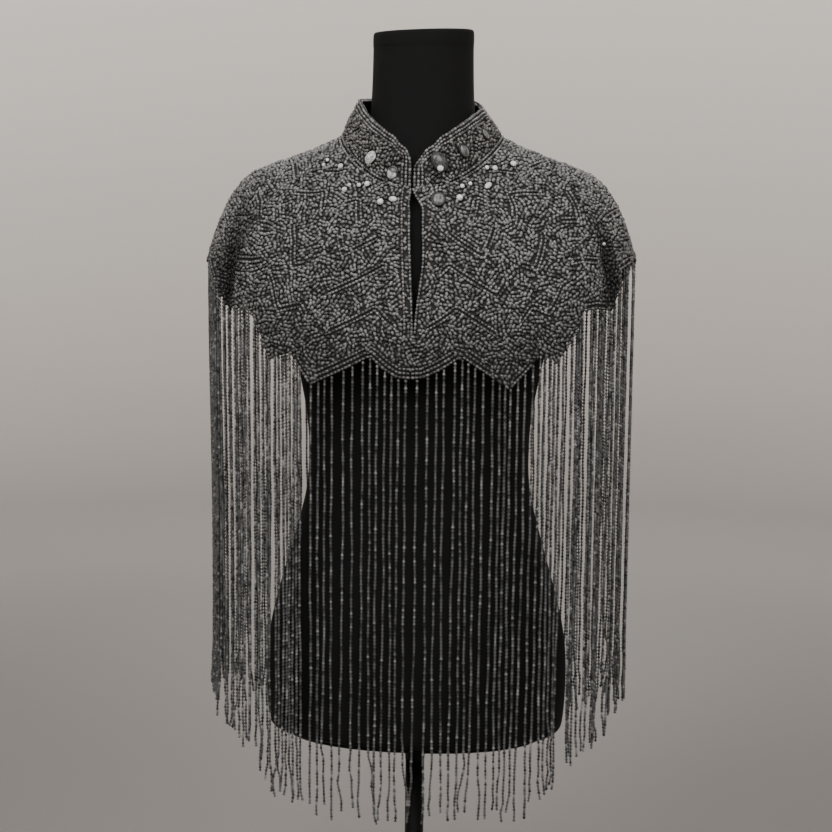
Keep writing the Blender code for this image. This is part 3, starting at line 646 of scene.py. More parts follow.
def bead_row_tree():
    """Beads threaded end to end along lines, in the painted shade that the cloth under them has."""
    tree, given = mesh_tree("bead rows", (
        ("Pitch", "Float", 0.0041), ("Bead length", "Float", 0.0052),
        ("Bead width", "Float", 0.0034), ("Size spread", "Float", 0.18), ("Cloth", "Object"),
    ))
    even = stations(tree, given, given["Pitch"])
    cloth = put(tree, "GeometryNodeObjectInfo", {"Object": given["Cloth"]})["Geometry"]
    # painted shade, read from the cloth under the row
    shade = put(tree, "GeometryNodeInputNamedAttribute", {"Name": "hollow"}, data_type="FLOAT")
    below = put(tree, "GeometryNodeSampleNearestSurface",
                {"Mesh": cloth, "Value": shade["Attribute"]}, data_type="FLOAT")
    shaded = stored(tree, even, "hollow", below["Value"])
    tangent = put(tree, "GeometryNodeInputTangent")
    return end_with_beads(tree, given, shaded, tangent, chance(tree, 0.0, 1.0, 7),
                          bead_size(tree, given, 3))


def stations(tree, given, step):
    """Evenly spaced points along the lines given."""
    lines = put(tree, "GeometryNodeMeshToCurve", {"Mesh": given})
    return put(tree, "GeometryNodeResampleCurve", {"Curve": lines, "Length": step}, mode="LENGTH")


def bead_string_tree():
    """Hanging strings: a tube that swells into a bead at every other station."""
    tree, given = mesh_tree("bead strings", (
        ("Bead length", "Float", 0.0039), ("Bead radius", "Float", 0.00198),
        ("Waist", "Float", 0.27), ("Size spread", "Float", 0.15), ("Sides", "Int", 5),
    ))
    even = stations(tree, given, given["Bead length"] * 0.5)
    station = put(tree, "GeometryNodeSplineParameter")["Index"]
    string = put(tree, "GeometryNodeCurveOfPoint")["Curve Index"]
    ident = maths("FLOOR", station / 2.0) + string * 1000.0
    waist = given["Waist"]
    swell = waist + maths("MODULO", station, 2.0) * (1.0 - waist)
    thick = bead_size(tree, given, 3, ident) * given["Bead radius"]
    toned = stored(tree, even, "tone", chance(tree, 0.0, 1.0, 9, ident))
    profile = put(tree, "GeometryNodeCurvePrimitiveCircle",
                  {"Resolution": given["Sides"], "Radius": 1.0}, mode="RADIUS")
    tube = put(tree, "GeometryNodeCurveToMesh",
               {"Curve": toned, "Profile Curve": profile, "Scale": thick * swell,
                "Fill Caps": True})
    return end_tree(tree, given, tube)


# --------------------------------------------------------------------- shader groups
LOOK = (("Color", "Color"), ("Roughness", "Float"))


def bead_tint_group():
    """A bead's colour and roughness from its own tone and painted shade, with cloudy patches over
    many.
    """
    tree, given = new_tree("bead tint", "ShaderNodeTree", (
        ("Tone", "Float"), ("Hollow", "Float"), ("Dark", "Color"), ("Middle", "Color"),
        ("Bright", "Color"), ("Dark share", "Float"), ("Bright share", "Float"),
        ("Cloud scale", "Float", 20.0), ("Cloud depth", "Float", 0.2),
    ), LOOK)
    tone = given["Tone"]
    lower = mixed(tree, ranged(tone, high=given["Dark share"]), given["Dark"], given["Middle"])
    upper = mixed(tree, ranged(tone, low=1.0 - given["Bright share"]), lower, given["Bright"])
    cloud = (noise(on_object(tree), given["Cloud scale"], 2.0) - 0.5) * (given["Cloud depth"] * 2.0)
    # painted shade: the colour goes nearly to black where the given shade is full
    shade = (cloud + 1.0) * (1.0 - given["Hollow"] * 0.96)
    put(tree, "NodeGroupOutput", {"Color": mixed(tree, 1.0, upper, shade, "MULTIPLY"),
                                  "Roughness": ranged(tone, to_low=0.60, to_high=0.45)})
    return tree


def knit_group():
    """Fine ribs crossed by stitches: the height and shade of net or jersey."""
    tree, given = new_tree("knit", "ShaderNodeTree", (
        ("Vector", "Vector"), ("Ribs per metre", "Float"), ("Stitches per metre", "Float"),
        ("Unevenness", "Float"), ("Thread", "Color"), ("Gap", "Color"),
    ), (("Height", "Float"), *LOOK))
    uneven = noise(given["Vector"], 60.0, 3.0)
    parts = put(tree, "ShaderNodeSeparateXYZ", {0: given["Vector"]})
    rib, stitch = (maths("SINE", parts[i] * (given[f"{word} per metre"] * (2.0 * math.pi)))
                   for i, word in enumerate(("Ribs", "Stitches")))
    height = (rib + 1.0) * (stitch + 1.0) * 0.25 + uneven * given["Unevenness"]
    colour = mixed(tree, height, given["Gap"], given["Thread"])
    put(tree, "NodeGroupOutput", {"Height": height, "Color": colour,
                                  "Roughness": ranged(height, to_low=0.95, to_high=0.8)})
    return tree


def dust_group():
    """A thin uneven film of dust and handling over a colour."""
    tree, given = new_tree("dust", "ShaderNodeTree", (
        ("Color", "Color"), ("Dust", "Color", (0.2, 0.19, 0.18, 1.0)), ("Amount", "Float"),
        ("Scale", "Float"), ("Roughness", "Float"),
    ), LOOK)
    film = noise(on_object(tree), given["Scale"], 6.0, Roughness=0.65)
    mask = given["Amount"] * ranged(film, 0.42, 0.72)
    put(tree, "NodeGroupOutput", {"Color": mixed(tree, mask, given["Color"], given["Dust"]),
                                  "Roughness": given["Roughness"] + mask * 0.8})
    return tree


# ------------------------------------------------------------------------- materials
def new_material(name, **plain):
    """A material, with plain values set on its shader's own sockets."""
    material = bpy.data.materials.new(name)
    material.use_nodes = True
    tree = material.node_tree
    shader = tree.nodes["Principled BSDF"]
    feed(tree, shader, {key.replace("_", " "): value for key, value in plain.items()})
    return material, tree, shader


def coloured(tree, shader, group, inputs):
    """Joins a shared group's colour and roughness to the shader."""
    made = put(tree, "ShaderNodeGroup", inputs, node_tree=GROUPS[group])
    feed(tree, shader, {"Base Color": made["Color"], "Roughness": made["Roughness"]})
    return made


def bump(tree, shader, height, strength, distance):
    inputs = {"Height": height, "Strength": strength, "Distance": distance}
    feed(tree, shader, {"Normal": put(tree, "ShaderNodeBump", inputs)})


def grey(value, warm=0.0):
    return (value * (1.0 + warm), value, value * (1.0 - warm), 1.0)


def bead_material(name, tones, warm=0.02, dark_share=0.5, bright_share=0.5):
    """Glass beads with dark, middle and bright ones among them."""
    material, tree, shader = new_material(name, Metallic=0.35, Coat_Weight=0.1,
                                          Coat_Roughness=0.3)
    inputs = {"Dark share": dark_share, "Bright share": bright_share}
    for label, tone in zip(("Dark", "Middle", "Bright"), tones):
        inputs[label] = grey(tone, warm)
    # each bead's own tone, and the painted shade stored on the mesh where it lies
    for label in ("Tone", "Hollow"):
        inputs[label] = put(tree, "ShaderNodeAttribute", attribute_name=label.lower())["Fac"]
    coloured(tree, shader, "bead tint", inputs)
    return material


def cloth_material(name, thread, gap, ribs, stitches, unevenness, depth, sheen, specular=0.3):
    material, tree, shader = new_material(name, Sheen_Weight=sheen, Sheen_Roughness=0.5,
                                          Specular_IOR_Level=specular)
    place = put(tree, "ShaderNodeUVMap", uv_map="cloth")
    knit = coloured(tree, shader, "knit",
                    {"Vector": place, "Ribs per metre": ribs, "Stitches per metre": stitches,
                     "Unevenness": unevenness, "Thread": thread, "Gap": gap})
    bump(tree, shader, knit["Height"], 0.5, depth)
    return material


def dusty_material(name, colour, amount, scale, roughness, grain=0.0, **plain):
    material, tree, shader = new_material(name, **plain)
    coloured(tree, shader, "dust",
             {"Color": colour, "Amount": amount, "Scale": scale, "Roughness": roughness})
    if grain:
        bump(tree, shader, noise(on_object(tree), 2200.0, 2.0), 0.3, grain)
    return material


def stone_material(name, deep, pale, scale, roughness=0.3, stretch=1.0):
    """A polished stone with soft clouds or streaks in it."""
    material, tree, shader = new_material(name, Coat_Weight=0.25, Coat_Roughness=0.22)
    inputs = {"Vector": on_object(tree), "Scale": (1.0, 1.0, stretch)}
    cloud = noise(put(tree, "ShaderNodeMapping", inputs), scale, 3.0)
    colour = mixed(tree, ranged(cloud, 0.35, 0.65), grey(deep), grey(pale))
    rough = ranged(cloud, to_low=roughness * 0.7, to_high=roughness * 1.5)
    feed(tree, shader, {"Base Color": colour, "Roughness": rough})
    return material


def make_materials():
    return {
        "net": cloth_material("black net", grey(0.036, 0.04), grey(0.012, 0.02), 900.0, 900.0,
                              0.4, 0.0002, 0.02),
        "jersey": cloth_material("black jersey", grey(0.009), grey(0.004), 1100.0, 1400.0,
                                 0.35, 0.00008, 0.0, 0.2),
        "field": bead_material("grey glass beads", (0.040, 0.172, 0.235)),
        "collar field": bead_material("warm grey glass beads", (0.030, 0.143, 0.21), 0.035),
        "rows": bead_material("silvery grey beads", (0.06, 0.17, 0.26)),
        "strings": bead_material("fringe beads", (0.018, 0.130, 0.36), -0.01, 0.6, 0.18),
        "milky": stone_material("milky glass", 0.26, 0.88, 330.0),
        "grey": stone_material("streaked grey glass", 0.04, 0.21, 420.0, stretch=0.25),
        "smoky": stone_material("smoky glass", 0.012, 0.10, 380.0),
        "clear": stone_material("cut crystal", 0.60, 1.0, 130.0, 0.15),
        "setting": dusty_material("darkened silver setting", grey(0.025), 0.15, 300.0, 0.45,
                                  Metallic=0.6),
        "powder coat": dusty_material("satin black powder coat", grey(0.004), 0.03, 14.0, 0.5,
                                      0.00004, Specular_IOR_Level=0.12),
    }


# ------------------------------------------------------------------------ mesh tools
def add_object(name, mesh):
    thing = bpy.data.objects.new(name, mesh)
    bpy.context.scene.collection.objects.link(thing)
    return thing


def object_of(name, mesh, material, sharp_from=None):
    """A smooth object in one material; edges sharper than an angle in degrees stay sharp."""
    mesh.shade_smooth()
    if sharp_from:
        mesh.set_sharp_from_angle(angle=math.radians(sharp_from))
    mesh.materials.append(material)
    return add_object(name, mesh)


def mesh_of(name, points, faces, edges=()):
    mesh = bpy.data.meshes.new(name)
    mesh.from_pydata([tuple(point) for point in points], edges, faces)
    return mesh


def built(name, builder):
    mesh = bpy.data.meshes.new(name)
    builder.to_mesh(mesh)
    builder.free()
    return mesh


def quads(rows, columns, closed=False):
    """The faces of a grid of points, joined round it if it is closed."""
    faces = []
    for i in range(rows - 1):
        for j in range(columns if closed else columns - 1):
            k = (j + 1) % columns
            faces.append((i * columns + j, i * columns + k,
                          (i + 1) * columns + k, (i + 1) * columns + j))
    return faces


def face_outwards(mesh):
    """Turns the whole sheet over if its middle face looks inwards."""
    face = mesh.polygons[len(mesh.polygons) // 2]
    x, y, _ = face.center
    if face.normal.dot(Vector((x, y, 0.25 * abs(x)))) < 0.0:
        mesh.flip_normals()


def cloth_uvs(mesh, points):
    """A UV map in metres along the sheet's own rows and columns."""
    across = np.linalg.norm(np.diff(points, axis=1), axis=-1)
    down = np.linalg.norm(np.diff(points, axis=0), axis=-1)
    u = np.pad(np.cumsum(across, axis=1), ((0, 0), (1, 0)))
    v = np.pad(np.cumsum(down, axis=0), ((1, 0), (0, 0)))
    uv = np.stack((u, v), -1)
    corners = np.stack((uv[:-1, :-1], uv[:-1, 1:], uv[1:, 1:], uv[1:, :-1]), axis=2).reshape(-1, 2)
    loops = np.array([mesh.vertices[loop.vertex_index].co[:2] for loop in mesh.loops])
    loops[:len(corners)] = corners
    layer = mesh.uv_layers.new(name="cloth")
    layer.data.foreach_set("uv", loops.astype(np.float32).ravel())


def fold_shade(angle, reach):
    """How much painted shade a place gets in a fold or low down, from 0 to 1."""
    shade = HEM_SHADE * smooth_step((reach - HEM_SHADE_START) / HEM_SHADE_LENGTH)
    for side, folds in SHADES.items():
        for at, lean, before, after, start in folds:
            down = smooth_step((reach - start) / (FOLD_SHADE_FULL - start))
            down *= side * angle > 0.0
            away = np.abs(angle) - at - lean * (1.0 - reach) / (1.0 - start)
            spread = np.where(away < 0.0, before, after)
            shade = np.maximum(shade, down * np.exp(-(away / spread) ** 4))
    return shade


def mark_painted_shade(mesh, angle, reach):
    """Stores the folds' painted shade on a mesh, for the material of its beads."""
    shade = fold_shade(wrapped(angle), reach)
    layer = mesh.attributes.new("hollow", "FLOAT", "POINT")
    layer.data.foreach_set("value", shade.astype(np.float32).ravel())


def line_object(name, lines):
    """Lines of points as edges, for beads to follow or keep clear of."""
    points, edges = [], []
    for line in lines:
        start = len(points)
        points += list(line)
        edges += [(i, i + 1) for i in range(start, start + len(line) - 1)]
    return add_object(name, mesh_of(name, points, [], edges))


# ---------------------------------------------------------------- panels of the cape
def panel_columns(start, end, side):
    """Angles between two angles, with every corner of the hem among them."""
    corners = sorted(row[0] for row in HEM[side] if start < row[0] < end)
    stops = [start] + corners + [end]
    angles = []
    for low, high in zip(stops, stops[1:]):
        count = max(1, math.ceil((high - low) / PANEL_STEP))
        angles.append(np.linspace(low, high, count, endpoint=False))
    return np.append(np.concatenate(angles), end)


def front_stations(side):
    """(angle, reach) of a front panel's points: arrays of rows by columns."""
    shares = np.linspace(0.0, 1.0, PANEL_ROWS)[:, None]
    seam = SHOULDER_SEAM - SHOULDER_GAP
    base = panel_columns(0.0, seam, side)[None, :]
    edge_reach = shares * hem_reach(side * 0.01)
    edge = angle_at_x(front_edge_x(side, edge_reach), edge_reach)
    angle = side * (base + edge * (1.0 - base / seam))
    return angle, shares * hem_reach(angle)


def back_stations(start=90.0, end=270.0):
    quarter = panel_columns(90.0, 180.0, 1)
    angles = np.concatenate((quarter, 360.0 - quarter[:-1][::-1]))
    angles = angles[(angles >= start) & (angles <= end)][None, :]
    shares = np.linspace(0.0, 1.0, PANEL_ROWS)[:, None]
    return np.broadcast_arrays(angles, shares * hem_reach(angles))


def collar_stations():
    """(angle, share) of the collar's points, from the right front round to the left."""
    halves = []
    for side in (1, -1):
        edge_x = collar_edge_x(side)
        near = np.array((0.0, 0.04, 0.12, 0.25, 0.4, 0.6, 0.8, 1.0)) * COLLAR_CORNER
        at = angle_at_x(edge_x + near, np.zeros_like(near))
        round_back = np.linspace(at[-1], 180.0, 90)[1:]
        halves.append((side * np.concatenate((at, round_back)),
                       np.concatenate((near, np.full(len(round_back), 1.0)))))
    angle = np.concatenate((halves[0][0], halves[1][0][:-1][::-1]))
    from_edge = np.concatenate((halves[0][1], halves[1][1][:-1][::-1]))
    shares = np.linspace(0.0, 1.0, COLLAR_ROWS)[:, None] * collar_top_share(from_edge)
    return np.broadcast_arrays(angle[None, :], shares)


def sheet_object(kind, word, stations, lift, material):
    """A panel's sheet or the collar's, with the folds' painted shade stored on the panels."""
    name = f"{kind}_{word}"
    points = (collar_surface if word == "collar" else surface)(*stations, lift)
    mesh = mesh_of(name, points.reshape(-1, 3), quads(*points.shape[:2]))
    cloth_uvs(mesh, points)
    face_outwards(mesh)
    piece = object_of(name, mesh, material)
    if word != "collar":
        # painted shade: how much the beads on this panel are darkened
        mark_painted_shade(mesh, *stations)
    return piece


# ----------------------------------------------------------- lines that beads follow
def inset(path, distance):
    """A flat path moved sideways by a distance, trimmed where it would cross itself."""
    along = unit(np.gradient(path, axis=0))
    normal = np.stack((along[:, 1], -along[:, 0]), -1)
    moved = path + normal * distance
    gaps = np.linalg.norm(moved[:, None, :] - path[None, :, :], axis=-1).min(axis=1)
    return moved[gaps > abs(distance) * 0.985]


def zigzag_line(side, start, end, up, offset):
    """A row that repeats the hem's outline higher up, moved offset towards the neck."""
    angles = np.arange(start, end + 0.01, 0.25) * side
    reach = hem_reach(angles) - up
    distance = walked(surface(angles, np.full_like(angles, max(0.05, 1.0 - up))))
    path = np.stack((distance, reach * CAPE_LENGTH), -1)
    if offset:
        path = inset(path, offset)
    at = np.interp(path[:, 0], distance, np.abs(angles)) * side
    return surface(at, np.clip(path[:, 1] / CAPE_LENGTH, 0.01, 1.15), ROW_LIFT)


def front_edge_line(side, offset, top, bottom):
    reach = np.linspace(top, bottom, 60)
    angle = angle_at_x(front_edge_x(side, reach) + offset, reach)
    return surface(side * angle, reach, ROW_LIFT)


def collar_top_line(side, offset, lift=ROW_LIFT):
    """A row that follows the collar's front edge, rounded corner and top edge."""
    edge_x = collar_edge_x(side)
    start = float(angle_at_x(edge_x + offset, np.array(0.0)))
    radius = max(0.002, COLLAR_CORNER - offset)
    turn = np.radians(np.linspace(0.0, 90.0, 10))
    corner = COLLAR_HEIGHT[0][1] - COLLAR_CORNER
    edge = COLLAR_CORNER - radius * np.cos(turn)
    around = angle_at_x(edge_x + edge, np.zeros_like(edge))
    foot = np.linspace(0.003, corner, 8)[:-1]
    beyond = np.linspace(around[-1], 180.0, 120)[1:]
    angles = np.concatenate((np.full(len(foot), start), around, beyond))
    full = collar_height(angles)
    at_foot, at_corner, at_top = np.split(full, (len(foot), len(foot) + len(around)))
    heights = np.concatenate((foot * at_foot / full[0],
                              corner + radius * np.sin(turn) + at_corner - COLLAR_HEIGHT[0][1],
                              at_top - offset))
    return collar_surface(side * angles, heights / full, lift)


def collar_foot_line(side):
    angles = np.linspace(NECK_ROWS_START, 180.0, 140)
    return collar_surface(side * angles, COLLAR_FOOT_ROW / collar_height(angles), ROW_LIFT)


def neckline_line(side, start, end):
    angles = np.linspace(start, end, 140)
    return surface(side * angles, np.full_like(angles, NECK_ROW / CAPE_LENGTH), ROW_LIFT)


def hem_lines(side, spans):
    return [zigzag_line(side, start, end, 0.0, ROW_INSET + ROW_PITCH * row)
            for start, end, rows in spans for row in range(rows)]


def level_lines(side, start, end):
    lines = []
    for level in LEVELS:
        for low, high in level.spans:
            low, high = max(start, low), min(end, high)
            if high - low < SHORTEST_ROW:
                continue
            lines += [zigzag_line(side, low, high, level.up, ROW_PITCH * row)
                      for row in range(level.rows)]
    return lines


def front_rows(side):
    edges = [front_edge_line(side, away, EDGE_ROWS_START, EDGE_ROWS_END)
             for away in EDGE_ROWS[side]]
    necks = [neckline_line(side, NECK_ROWS_START, 89.0)]
    hem = hem_lines(side, HEM_ROWS[side] + HEM_ROWS_BEHIND[:1])
    return hem + level_lines(side, 0.0, 89.0) + edges + necks


def back_rows(side):
    necks = [neckline_line(side, 91.0, 180.0)]
    return hem_lines(side, HEM_ROWS_BEHIND[1:]) + level_lines(side, 91.0, 180.0) + necks


def collar_rows():
    lines = []
    for side in (-1, 1):
        lines += [collar_top_line(side, ROW_INSET + COLLAR_ROW_PITCH * row) for row in range(3)]
        lines.append(collar_top_line(side, ROW_INSET, INSIDE_COLLAR))
        lines.append(collar_foot_line(side))
    return lines


def lines_outside():
    """Lines just outside the cut edges, where no bead may stray."""
    lines = []
    for side in (-1, 1):
        lines += [front_edge_line(side, EDGE_CLEAR, 0.0, EDGE_CLEAR_END),
                  zigzag_line(side, 0.4, 89.4, 0.0, EDGE_CLEAR),
                  zigzag_line(side, 90.4, 180.0, 0.0, EDGE_CLEAR),
                  collar_top_line(side, EDGE_CLEAR)]
    return lines


# ---------------------------------------------------------------------- bead strings
def string_feet(side):
    """Where one side's strings leave the hem, from the middle round to the back."""
    angles = np.linspace(0.05, 179.7, 2400)
    ring = surface(side * angles, hem_reach(side * angles), STRING_LIFT)
    along = walked(ring[:, :2])
    across = np.abs(ring[:, 0])
    edges = []
    for angle, half in PARTINGS[side]:
        if BESIDE[0] < angle < BESIDE[1]:
            continue
        gap = np.abs(across - np.interp(angle, angles, across)) < half
        gap &= np.abs(angles - angle) < PARTING_SPAN
        edges += [along[gap].min(), along[gap].max()]
    rng = np.random.default_rng(17 + side)
    feet = [at for at in np.cumsum(FRONT_STEPS[side]) / 1000.0 if at < edges[0] - CLEAR_OF_GAP]
    for low, high in zip(edges[1::2], edges[2::2] + [along[-1] - CLEAR_OF_GAP]):
        pitch = float(table(STRING_PITCH, np.interp(low, along, angles)))
        feet += spread_out(low, high, pitch, rng)
    return [float(angle) for angle in np.interp(feet, along, angles)]


def spread_out(low, high, pitch, rng):
    """Places from low to high, about a pitch apart, the first and last at the ends."""
    if high < low:
        return []
    if high - low < 0.6 * pitch:
        return [0.5 * (low + high)]
    count = max(1, round((high - low) / pitch))
    places = np.linspace(low, high, count + 1)
    stray = rng.uniform(-UNEVEN_PITCH, UNEVEN_PITCH, count - 1)
    places[1:-1] += stray * (high - low) / count
    return list(places)


def stand_aside(side, angle):
    """How far outwards a string beside the form moves, to leave the nearest parting open."""
    if not BESIDE[0] - 6.0 < angle < BESIDE[1] + 2.0:
        return 0.0
    beside = [parting for parting in PARTINGS[side] if BESIDE[0] < parting[0] < BESIDE[1]]
    middle, half = min(beside, key=lambda parting: abs(parting[0] - angle))
    at, centre = (abs(surface(side * each, hem_reach(side * each), STRING_LIFT)[0])
                  for each in (angle, middle))
    if abs(at - centre) >= half or abs(angle - middle) > 9.0:
        return 0.0
    return float(math.copysign(half, at - centre) - (at - centre))


def string_line(side, angle, rng):
    """One string's own line: plumb, a little wavy, and kinked near its end."""
    reach = float(hem_reach(side * angle))
    foot = surface(side * angle, reach, STRING_LIFT)
    outward = surface(side * angle, reach, 1.0) - surface(side * angle, reach, 0.0)
    outward = unit(outward * (1.0, 1.0, 0.0))
    beside = np.array((-outward[1], outward[0], 0.0))
    low = float(table(STRING_ENDS, angle)) + rng.uniform(*STRING_END_SPREAD)
    top = foot[2] - STRING_TOP_GAP
    length = top - low
    count = int(length / STRING_STEP) + 2
    down = np.linspace(0.0, 1.0, count)
    sway = np.zeros(count)
    for waves, size in STRING_SWAY:
        wave = np.sin(2.0 * np.pi * (waves * down + rng.uniform()))
        sway += size * wave * np.minimum(1.0, down * 5.0)
    loose_from = length - rng.uniform(*LOOSE_LENGTH)
    loose = smooth_step((down * length - loose_from) / LOOSENS_OVER)
    kinks = np.cumsum(rng.normal(0.0, KINK_ASIDE, count) * loose)
    lean = rng.normal(0.0, STRING_LEAN) * smooth_step((down - 0.25) / 0.75)
    to_side = math.sin(math.radians(angle)) ** 2
    gather = -side * SIDE_LEAN[side] * to_side * smooth_step(down * 1.4)
    depth = np.cumsum(rng.normal(0.0, KINK_OUT, count) * loose)
    line = foot + (top - foot[2]) * np.array((0.0, 0.0, 1.0))
    line = line - down[:, None] * (0.0, 0.0, 1.0) * length
    eased = smooth_step(down * length / STANDS_ASIDE_OVER)
    aside = side * stand_aside(side, angle) * eased
    line = line + (gather + aside)[:, None] * (1.0, 0.0, 0.0)
    return line + (sway + kinks + lean)[:, None] * beside + depth[:, None] * outward


def string_lines():
    """Every string's line, by the length of fringe that it belongs to."""
    lines = {(place, side): [] for place in SPLITS for side in (-1, 1)}
    for side in (-1, 1):
        rng = np.random.default_rng(101 + side)
        for angle in string_feet(side):
            for place, (start, end) in SPLITS.items():
                if start <= angle < end:
                    lines[place, side].append(string_line(side, angle, rng))
    return lines


# ---------------------------------------------------------------------------- stones
def stone_place(on, angle, reach):
    """The middle of a stone on the cloth, and its across, up and outward directions."""
    at, upward = (collar_point, 0.02) if on == "collar" else (cape_point, -0.01)
    middle = at(angle, reach)
    across = unit(at(angle + 0.5, reach) - at(angle - 0.5, reach))
    rise = at(angle, reach + upward) - at(angle, reach - upward)
    rise = unit(rise - across * np.dot(rise, across))
    return Vector(middle), Vector(across), Vector(rise), Vector(np.cross(across, rise))


def stone_rings(builder, place, size, turn, steps, sides, phase=0.0):
    """Loops of points: each step is a share of the stone's size and a height."""
    middle, across, rise, outward = place
    turn = math.radians(turn)
    loops = []
    for number, (share, lift) in enumerate(steps):
        loop = []
        for i in range(sides):
            around = 2.0 * math.pi * (i + phase * number) / sides
            u = 0.5 * size[0] * share * math.cos(around)
            v = 0.5 * size[1] * share * math.sin(around)
            x = u * math.cos(turn) - v * math.sin(turn)
            y = u * math.sin(turn) + v * math.cos(turn)
            loop.append(builder.verts.new(middle + across * x + rise * y + outward * lift))
        loops.append(loop)
    return loops


def skin(builder, loops, material, smooth):
    """Faces over the loops, closed at both ends."""
    count = len(loops[0])
    corners = [(low[i], low[(i + 1) % count], high[(i + 1) % count], high[i])
               for low, high in zip(loops, loops[1:]) for i in range(count)]
    for each in [*corners, loops[0][::-1], loops[-1]]:
        face = builder.faces.new(each)
        face.material_index = material
        face.smooth = smooth


def bezel(builder, place, size, turn, rise, material, width=STONE_RIM, sides=28):
    """A thin rounded metal rim round a stone."""
    grow = [1.0 + 2.0 * width * step / min(size) for step in (0.0, 1.0, 1.25, 1.0, 0.2)]
    heights = (0.0, 0.0, 0.45 * rise, 0.7 * rise, 0.75 * rise)
    loops = stone_rings(builder, place, size, turn, list(zip(grow, heights)), sides)
    skin(builder, loops, material, True)


def cabochon_mesh(stone):
    builder = bmesh.new()
    place = stone_place(stone.on, stone.angle, stone.reach)
    size = (stone.width * STONE_IN_RIM, stone.height * STONE_IN_RIM)
    pale = stone.look in ("milky", "banded")
    rim = {"milky": 0, "banded": 3}.get(stone.look, 1)
    bezel(builder, place, size, stone.turn, stone.rise * (0.6 if pale else 1.0), rim)
    dome = [(math.cos(t), stone.rise * (0.35 + 0.8 * math.sin(t)))
            for t in np.radians((0, 14, 30, 48, 66, 80))]
    loops = stone_rings(builder, place, size, stone.turn, [(0.97, 0.0)] + dome, 28)
    skin(builder, loops, 0, True)
    # painted highlight: the stone's top is smoky glass and the rest milky, for a highlight below
    if stone.look == "banded":
        for face in builder.faces:
            if (face.calc_center_median() - place[0]).dot(place[2]) > 0.08 * stone.height:
                face.material_index = 3
    # painted highlight: a pale cut stone set low on the smoky dome where its highlight shows
    if stone.look == "smoky":
        middle, across, rise, outward = place
        spot = middle - rise * stone.height * 0.26 - across * stone.width * 0.22
        spot += outward * stone.rise * 0.8
        faceted(builder, (spot, across, rise, outward), SPARK, SPARK_RISE, 2)
    return builder


def faceted(builder, place, size, rise, material):
    """A small cut stone: girdle, crown facets and a flat table."""
    steps = ((0.94, 0.0), (1.0, 0.3 * rise), (0.72, 0.78 * rise), (0.46, rise))
    loops = stone_rings(builder, place, size, 11.0, steps, sides=8, phase=0.5)
    skin(builder, loops, material, False)


def cut_stones_mesh():
    builder = bmesh.new()
    for angle, reach, width, height in CUT_STONES:
        place = stone_place("cape", angle, reach)
        size = (width, height)
        rise = 0.34 * min(size) + 0.0012
        faceted(builder, place, size, rise, 0)
        bezel(builder, place, size, 0.0, 0.55 * rise, 1, CUT_STONE_RIM, sides=12)
    return builder


def builder_object(name, builder, materials):
    bmesh.ops.recalc_face_normals(builder, faces=builder.faces)
    mesh = built(name, builder)
    for material in materials:
        mesh.materials.append(material)
    return add_object(name, mesh)


def stone_wires():
    """Spokes from each stone's middle, so that the field's beads leave room for it."""
    lines = []
    stones = [(s.on, s.angle, s.reach, s.width, s.height) for s in CABOCHONS]
    stones += [("cape", *stone) for stone in CUT_STONES]
    for on, angle, reach, width, height in stones:
        middle, across, rise, _ = stone_place(on, angle, reach)
        for i in range(SPOKES):
            turn = 2.0 * math.pi * i / SPOKES
            sideways = across * (0.5 * (width - ROOM_FOR_STONE) * math.cos(turn))
            upwards = rise * 0.5 * (height - ROOM_FOR_STONE) * math.sin(turn)
            lines.append([middle, middle + sideways + upwards])
    return lines


# -------------------------------------------------------------------------- the form
def node_rings(node):
    """The sections of a stacked CAD solid, bottom to top, each in order round."""
    co = np.array([vertex.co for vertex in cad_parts[node].data.vertices])
    co = np.unique(co.round(5), axis=0)
    rings = []
    for z in np.unique(co[:, 2]):
        ring = co[co[:, 2] == z]
        rings.append(ring[np.argsort(np.arctan2(ring[:, 1], ring[:, 0]))])
    return np.array([ring for ring in rings if len(ring) == len(rings[0])])


def finer(points, times, axis, closed):
    """The same grid with smooth extra points between its rows or columns."""
    points = np.moveaxis(points, axis, 0)
    count = len(points)
    if closed:
        points = np.concatenate((points[-2:], points, points[:3]))
        at = np.arange(count * times) / times + 2.0
    else:
        at = np.linspace(0.0, count - 1.0, (count - 1) * times + 1)
    flat = points.reshape(len(points), -1)
    made = np.stack([curve_through(column, at) for column in flat.T], -1)
    return np.moveaxis(made.reshape((len(at),) + points.shape[1:]), 0, axis)


def finer_rings(node, rows):
    """A stacked solid's rings with smooth extra points, round them and between them."""
    return finer(finer(node_rings(node), 3, 1, True), rows, 0, False)


def closed_stack(name, rings, material):
    """A closed solid over stacked rings, with a fan at each end."""
    rows, columns = rings.shape[:2]
    low, high, last = rows * columns, rows * columns + 1, (rows - 1) * columns
    faces = quads(rows, columns, closed=True)
    for j in range(columns):
        k = (j + 1) % columns
        faces += [(low, k, j), (high, last + j, last + k)]
    ends = rings[0].mean(axis=0), rings[-1].mean(axis=0)
    mesh = mesh_of(name, [*rings.reshape(-1, 3), *ends], faces)
    cloth_uvs(mesh, np.concatenate((rings, rings[:, :1]), axis=1))
    return object_of(name, mesh, material, sharp_from=50.0)


def smooth_copy(node, name, material):
    """A CAD solid with its loose triangles joined, smooth but for its real edges."""
    builder = bmesh.new()
    builder.from_mesh(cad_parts[node].data)
    bmesh.ops.remove_doubles(builder, verts=builder.verts, dist=1e-5)
    return object_of(name, built(name, builder), material, sharp_from=35.0)


def settle(piece, slot, *nodes):
    """Every piece rides on the one body, and stands for its CAD nodes."""
    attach(piece, BODY)
    if nodes:
        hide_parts(*nodes)
    return piece


